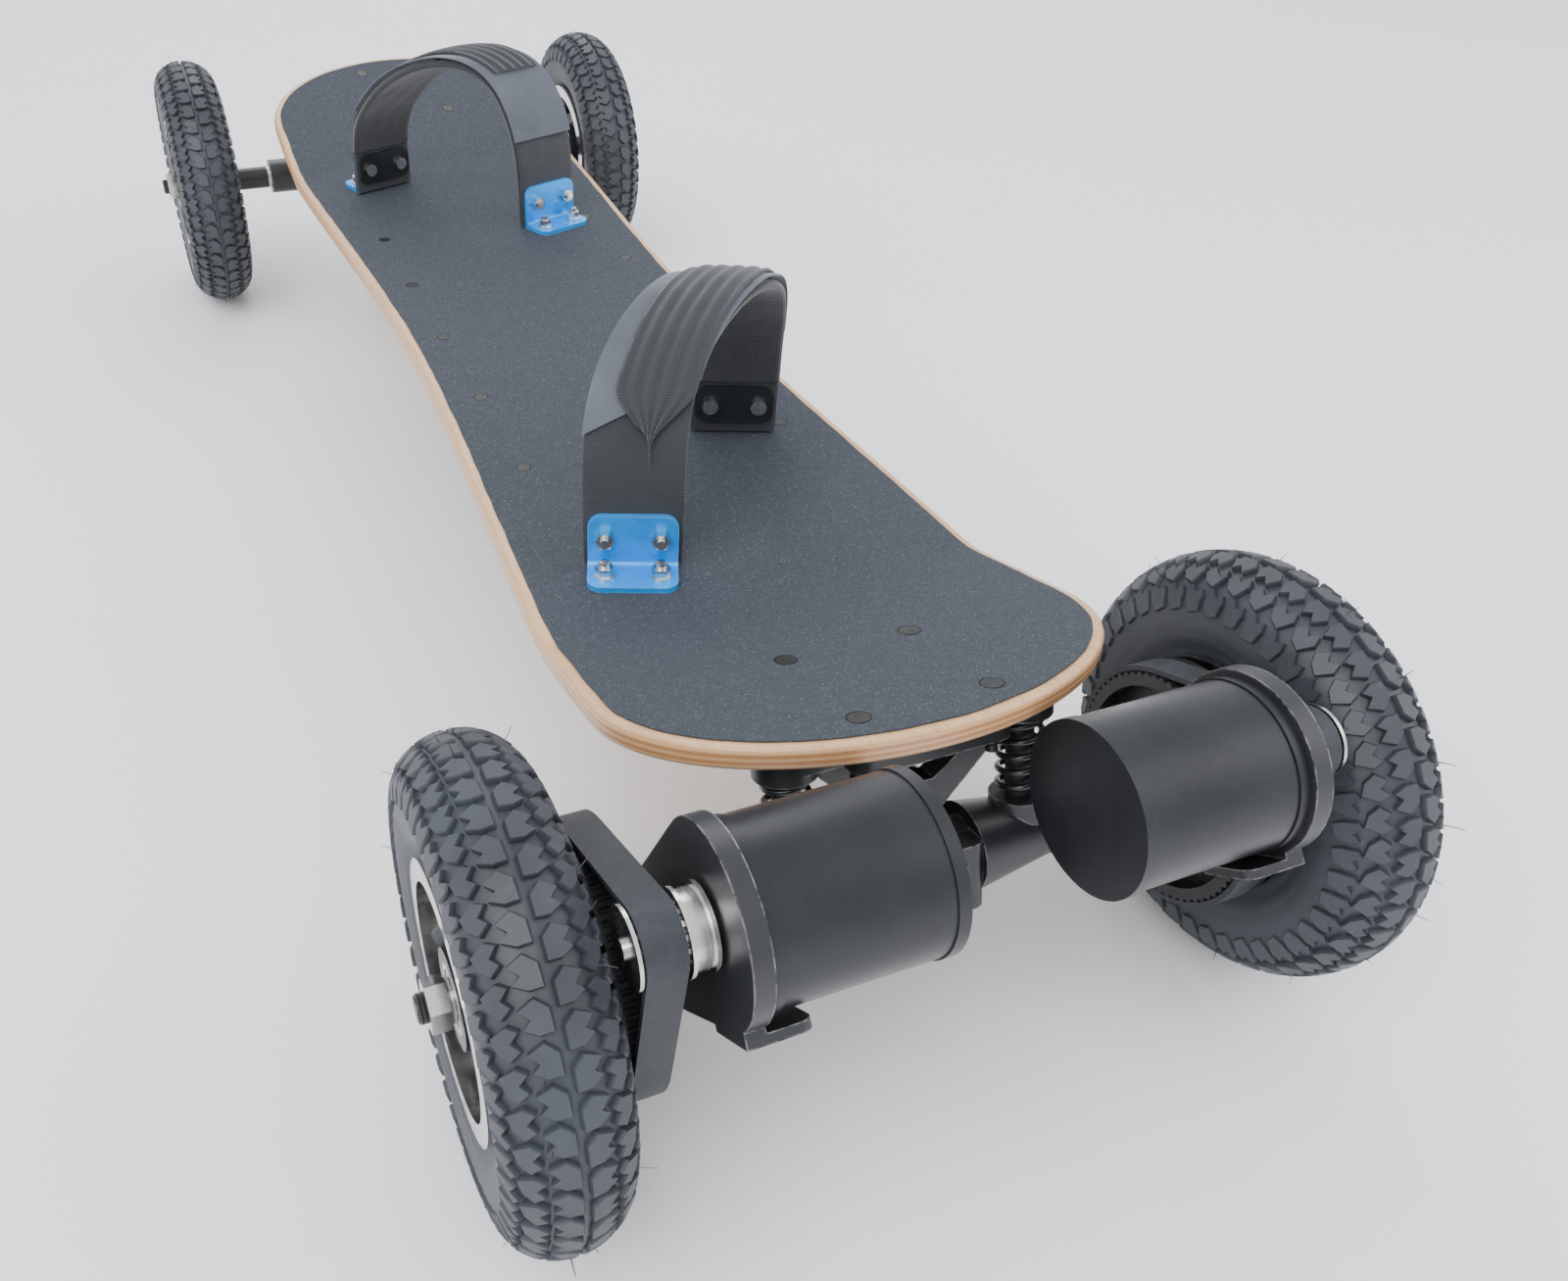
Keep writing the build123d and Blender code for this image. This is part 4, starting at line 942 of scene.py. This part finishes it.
class StrapPath:
    """Centre line of a strap between its brackets, with the direction away from the foot at each point."""

    def __init__(self, node):
        low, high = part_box(node)
        s = sizes()
        self.middle = Vector(((low[0] + high[0]) / 2, (low[1] + high[1]) / 2, 0))
        self.mirror = 1 if self.middle.y < 0 else -1
        self.across = Vector((math.cos(s.strap_turn), math.sin(s.strap_turn), 0))
        self.along = Vector((-math.sin(s.strap_turn), math.cos(s.strap_turn), 0))
        self.top = high[2]
        self.base = low[2]
        self.half = STRAP_HALF
        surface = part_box("strap_brackets")[0][2]
        leg_top = surface + LEG_HEIGHT
        run = s.strap_run - 2 * self.half
        rise = self.top - leg_top - self.half - ARCH_DROP
        first = -self.along * (run / 2) - self.across * (s.strap_shift / 2)
        path = [(first + Vector((0, 0, self.base)), Vector((0, 0, 1)))]
        for k in range(1, 8):
            z = self.base + (leg_top - self.base) * k / 8
            path.append((first + Vector((0, 0, z)), Vector((0, 0, 1))))
        arch = []
        for curve in ARCH:
            for i in range(46):
                u = i / 45
                share = [(1 - u) ** 3, 3 * u * (1 - u) ** 2, 3 * u * u * (1 - u), u ** 3]
                part, height = (sum(w * p[k] for w, p in zip(share, curve)) for k in (0, 1))
                ease = part * part * (3 - 2 * part)
                centre = first + self.along * (run * part) + self.across * (s.strap_shift * ease)
                arch.append(centre + Vector((0, 0, leg_top + rise * height)))
        arch = [p for p, q in zip(arch, arch[1:]) if (p - q).length > 1e-6] + [arch[-1]]
        for i, centre in enumerate(arch):
            ahead, behind = arch[min(i + 1, len(arch) - 1)], arch[max(i - 1, 0)]
            run_on, climb = (ahead - behind).dot(self.along), ahead.z - behind.z
            path.append((centre, (self.along * run_on + Vector((0, 0, climb))).normalized()))
        last = path[-1][0]
        for k in range(1, 9):
            z = leg_top + (self.base - leg_top) * k / 8
            path.append((Vector((last.x, last.y, z)), Vector((0, 0, -1))))
        self.path = path
        self.lengths = [0.0]
        for (a, _), (b, _) in zip(path, path[1:]):
            self.lengths.append(self.lengths[-1] + (b - a).length)

    def at(self, t):
        """Point, direction across and direction outward at a share t of the length."""
        wanted = t * self.lengths[-1]
        i = 1
        while i < len(self.lengths) - 1 and self.lengths[i] < wanted:
            i += 1
        span = self.lengths[i] - self.lengths[i - 1]
        part = (wanted - self.lengths[i - 1]) / span
        point = self.path[i - 1][0].lerp(self.path[i][0], part)
        tangent = self.path[i - 1][1].lerp(self.path[i][1], part).normalized()
        outward = tangent.cross(self.across).normalized()
        if outward.dot(Vector((0, 0, 1)) + (point - Vector((0, 0, point.z))) * 8) < 0:
            outward = -outward
        return point, self.across, outward

    def place(self, point):
        return Vector((self.middle.x + point.x, self.middle.y + self.mirror * point.y, point.z))


def strap_band(path, name, material, start, end, inner, outer, width, crown=0.0, ribs=0,
               slant=(0.0, 0.0), side=lambda t: 0.0, wave=lambda t, v: 0.0, rng_seed=1):
    """A flat band along the strap between two shares of its length. slant moves each end's two corners."""
    steps, columns = 130, 28
    points, uvs = [], []
    length = path.lengths[-1]
    for i in range(steps + 1):
        for face in (1, -1):
            for k in range(columns + 1):
                v = -1 + 2 * k / columns
                skew = slant[0] * v * (1 - i / steps) + slant[1] * v * (i / steps)
                t = start + (end - start) * i / steps + skew
                t = min(1.0, max(0.0, t))
                point, across, outward = path.at(t)
                wide = width(t) if callable(width) else width
                x = v * wide / 2 + side(t)
                rim = max(0.0, 1 - (1 - abs(v)) * wide / 2 / 0.0022)
                thick = (outer - inner) / 2
                middle = (outer + inner) / 2
                half = thick * math.sqrt(max(0.0, 1 - (rim * 0.85) ** 2))
                lift = crown * (1 - v * v) if face > 0 else 0.0
                pleat = 0.0
                if ribs and face > 0:
                    pleat = 0.0009 * math.cos(math.pi * ribs * (v + 1)) * (1 - rim)
                fuzz = 0.00035 * noise.noise(Vector((t * 22 + rng_seed, v * 2.5, rng_seed * 3.1)))
                out = middle + face * half + lift + pleat + fuzz + wave(t, v)
                points.append(path.place(point + across * x + outward * out))
                uvs.append((x + 0.05, t * length))
    row = 2 * (columns + 1)
    faces = []
    for i in range(steps):
        a, b = i * row, (i + 1) * row
        for k in range(columns):
            faces.append((a + k, a + k + 1, b + k + 1, b + k))
            q = columns + 1
            faces.append((a + q + k + 1, a + q + k, b + q + k, b + q + k + 1))
        q = columns + 1
        faces.append((a + q, a, b, b + q))
        faces.append((a + columns, a + q + columns, b + q + columns, b + columns))
    for i, flip in ((0, False), (steps, True)):
        a = i * row
        q = columns + 1
        for k in range(columns):
            face = (a + k, a + q + k, a + q + k + 1, a + k + 1)
            faces.append(face[::-1] if flip else face)
    band = piece_from(name, points, faces, material, "board", uvs=uvs)
    mesh = bmesh.new()
    mesh.from_mesh(band.data)
    bmesh.ops.recalc_face_normals(mesh, faces=mesh.faces)
    mesh.to_mesh(band.data)
    mesh.free()
    split_by_angle(band, 60)
    return band


def build_straps():
    c = colours()
    webbing = weave_finish("strap_webbing", c.webbing)
    lining = weave_finish("strap_lining", tint(c.webbing, 0.8), 0.6, 0.4, 1.3)
    smooth = face_finish(c)
    ribbed = weave_finish("strap_ribbed", tint(c.webbing, 1.2), 0.8)
    wide = sizes().strap_width
    for end in ENDS:
        path = StrapPath(f"strap_{end}")

        def drop(t, v):
            """Draws the layers in over the arch, so that they end at the strap's own height."""
            return -0.0028 * smooth_step(0.14, 0.30, t) * (1 - smooth_step(0.70, 0.86, t))

        seed = 3 if end == "rear" else 8
        pad = strap_band(path, f"strap_pad_{end}", lining, 0.105, 0.895, -0.0042, 0.0006, wide - 0.001,
                         wave=drop, rng_seed=seed)
        strap_band(path, f"strap_tail_first_{end}", webbing, 0.0, 0.5, 0.0007, 0.0023, wide - 0.002,
                   wave=drop, rng_seed=seed + 1)
        strap_band(path, f"strap_tail_second_{end}", webbing, 0.7, 1.0, 0.0007, 0.0023, wide - 0.002,
                   wave=drop, rng_seed=seed + 2)
        for k, (a, b) in enumerate(((0.0, 0.13), (0.87, 1.0))):
            strap_band(path, f"strap_foot_{k}_{end}", webbing, a, b, -0.0024, 0.0006, wide - 0.002,
                       rng_seed=seed + 3 + k)
        strap_band(path, f"strap_cover_{end}", smooth, 0.26, 0.80, 0.0024, 0.0038, wide + 0.001,
                   slant=(0.045, 0.0), wave=drop, rng_seed=seed + 5)
        quilted = strap_band(path, f"strap_quilted_{end}", ribbed, 0.2, 0.64, 0.0039, 0.0058,
                             lambda t: 0.036 * smooth_step(0.195, 0.29, t) + 0.002, crown=0.0008, ribs=5,
                             slant=(-0.03, 0.0), side=lambda t: 0.006 - 0.004 * smooth_step(0.3, 0.6, t),
                             wave=drop, rng_seed=seed + 6)
        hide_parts(f"strap_{end}")


# ------------------------------------------------------------------ stage and camera

def build_stage():
    scene = bpy.context.scene
    floor_size = 12.0
    mesh = bpy.data.meshes.new("floor")
    h = floor_size / 2
    rows = [(-h, -h, 0), (h, -h, 0), (h, h, 0), (-h, h, 0)]
    mesh.from_pydata(rows, [], [(0, 1, 2, 3)])
    floor = bpy.data.objects.new("floor", mesh)
    f = Finish("floor", Roughness=0.75, Specular_IOR_Level=0.2)
    f.set("Base Color", f.mix(f.grain(3, 3), (0.90, 0.90, 0.91), (0.92, 0.92, 0.93)))
    mesh.materials.append(f.material)
    scene.collection.objects.link(floor)

    world = bpy.data.worlds.new("studio")
    world.use_nodes = True
    back = world.node_tree.nodes["Background"]
    back.inputs["Color"].default_value = (0.93, 0.95, 1.0, 1.0)
    back.inputs["Strength"].default_value = 1.4
    scene.world = world

    for name, place, aim, size, power in (
            ("key", (-1.6, -1.4, 2.6), (0, -0.1, 0.1), 2.4, 84),
            ("fill", (2.4, -1.2, 1.6), (0, 0, 0.1), 2.0, 26),
            ("rim", (0.4, 2.4, 2.2), (0, 0, 0.1), 1.6, 26)):
        data = bpy.data.lights.new(name, "AREA")
        data.shape = "SQUARE"
        data.size = size
        data.energy = power
        lamp = bpy.data.objects.new(name, data)
        lamp.location = place
        lamp.rotation_mode = "QUATERNION"
        lamp.rotation_quaternion = (Vector(aim) - Vector(place)).to_track_quat("-Z", "Y")
        scene.collection.objects.link(lamp)


def build_camera():
    data = bpy.data.cameras.new("camera")
    data.sensor_width = 36.0
    data.lens = 31.13
    data.shift_x = 0.0665
    data.shift_y = -0.0068
    data.clip_start = 0.02
    data.clip_end = 50.0
    camera = bpy.data.objects.new("camera", data)
    camera.location = (-0.2517, -0.7915, 0.5232)
    camera.rotation_euler = (0.920, -0.029, -0.389)
    bpy.context.scene.collection.objects.link(camera)
    bpy.context.scene.camera = camera


# ------------------------------------------------------------------ operators and panel

class BOARD_OT_frame_finish(bpy.types.Operator):
    """Finishes the metal, rubber and moulded pieces of the frame"""

    bl_idname = "board.frame_finish"
    bl_label = "Frame finishes"

    def execute(self, context):
        finish_frame(frame_materials(colours()))
        return {"FINISHED"}


class BOARD_OT_springs(bpy.types.Operator):
    """Builds copies of the springs and dampers in place of the frame's own pieces"""

    bl_idname = "board.springs"
    bl_label = "Springs"

    def execute(self, context):
        build_springs()
        return {"FINISHED"}


class BOARD_OT_tyres(bpy.types.Operator):
    """Builds the four knobby tyres"""

    bl_idname = "board.tyres"
    bl_label = "Tyres"

    def execute(self, context):
        build_tyres()
        return {"FINISHED"}


class BOARD_OT_deck(bpy.types.Operator):
    """Builds the ply deck and its grip sheet"""

    bl_idname = "board.deck"
    bl_label = "Deck and grip"

    def execute(self, context):
        build_deck()
        return {"FINISHED"}


class BOARD_OT_straps(bpy.types.Operator):
    """Builds the two padded foot straps"""

    bl_idname = "board.straps"
    bl_label = "Foot straps"

    def execute(self, context):
        build_straps()
        return {"FINISHED"}


class BOARD_OT_stage(bpy.types.Operator):
    """Builds the floor, the lights and the camera"""

    bl_idname = "board.stage"
    bl_label = "Stage"

    def execute(self, context):
        build_stage()
        build_camera()
        return {"FINISHED"}


class BOARD_PT_panel(bpy.types.Panel):
    """Lists the steps that build the board"""

    bl_idname = "BOARD_PT_panel"
    bl_label = "Skateboard"
    bl_space_type = "VIEW_3D"
    bl_region_type = "UI"
    bl_category = "Skateboard"

    def draw(self, context):
        for step in STEPS:
            self.layout.operator(step.bl_idname)
        for group in (context.scene.board_sizes, context.scene.board_colours):
            for name in group.bl_rna.properties.keys():
                if name not in ("rna_type", "name"):
                    self.layout.prop(group, name)


STEPS = (BOARD_OT_frame_finish, BOARD_OT_springs, BOARD_OT_tyres, BOARD_OT_deck, BOARD_OT_straps,
         BOARD_OT_stage)
CLASSES = (BoardSizes, BoardColours, *STEPS, BOARD_PT_panel)


def register():
    for cls in CLASSES:
        bpy.utils.register_class(cls)
    bpy.types.Scene.board_sizes = bpy.props.PointerProperty(type=BoardSizes)
    bpy.types.Scene.board_colours = bpy.props.PointerProperty(type=BoardColours)


def unregister():
    del bpy.types.Scene.board_colours
    del bpy.types.Scene.board_sizes
    for cls in reversed(CLASSES):
        bpy.utils.unregister_class(cls)


def main():
    register()
    for step in STEPS:
        group, name = step.bl_idname.split(".")
        getattr(getattr(bpy.ops, group), name)()


if __name__ == "__main__":
    main()
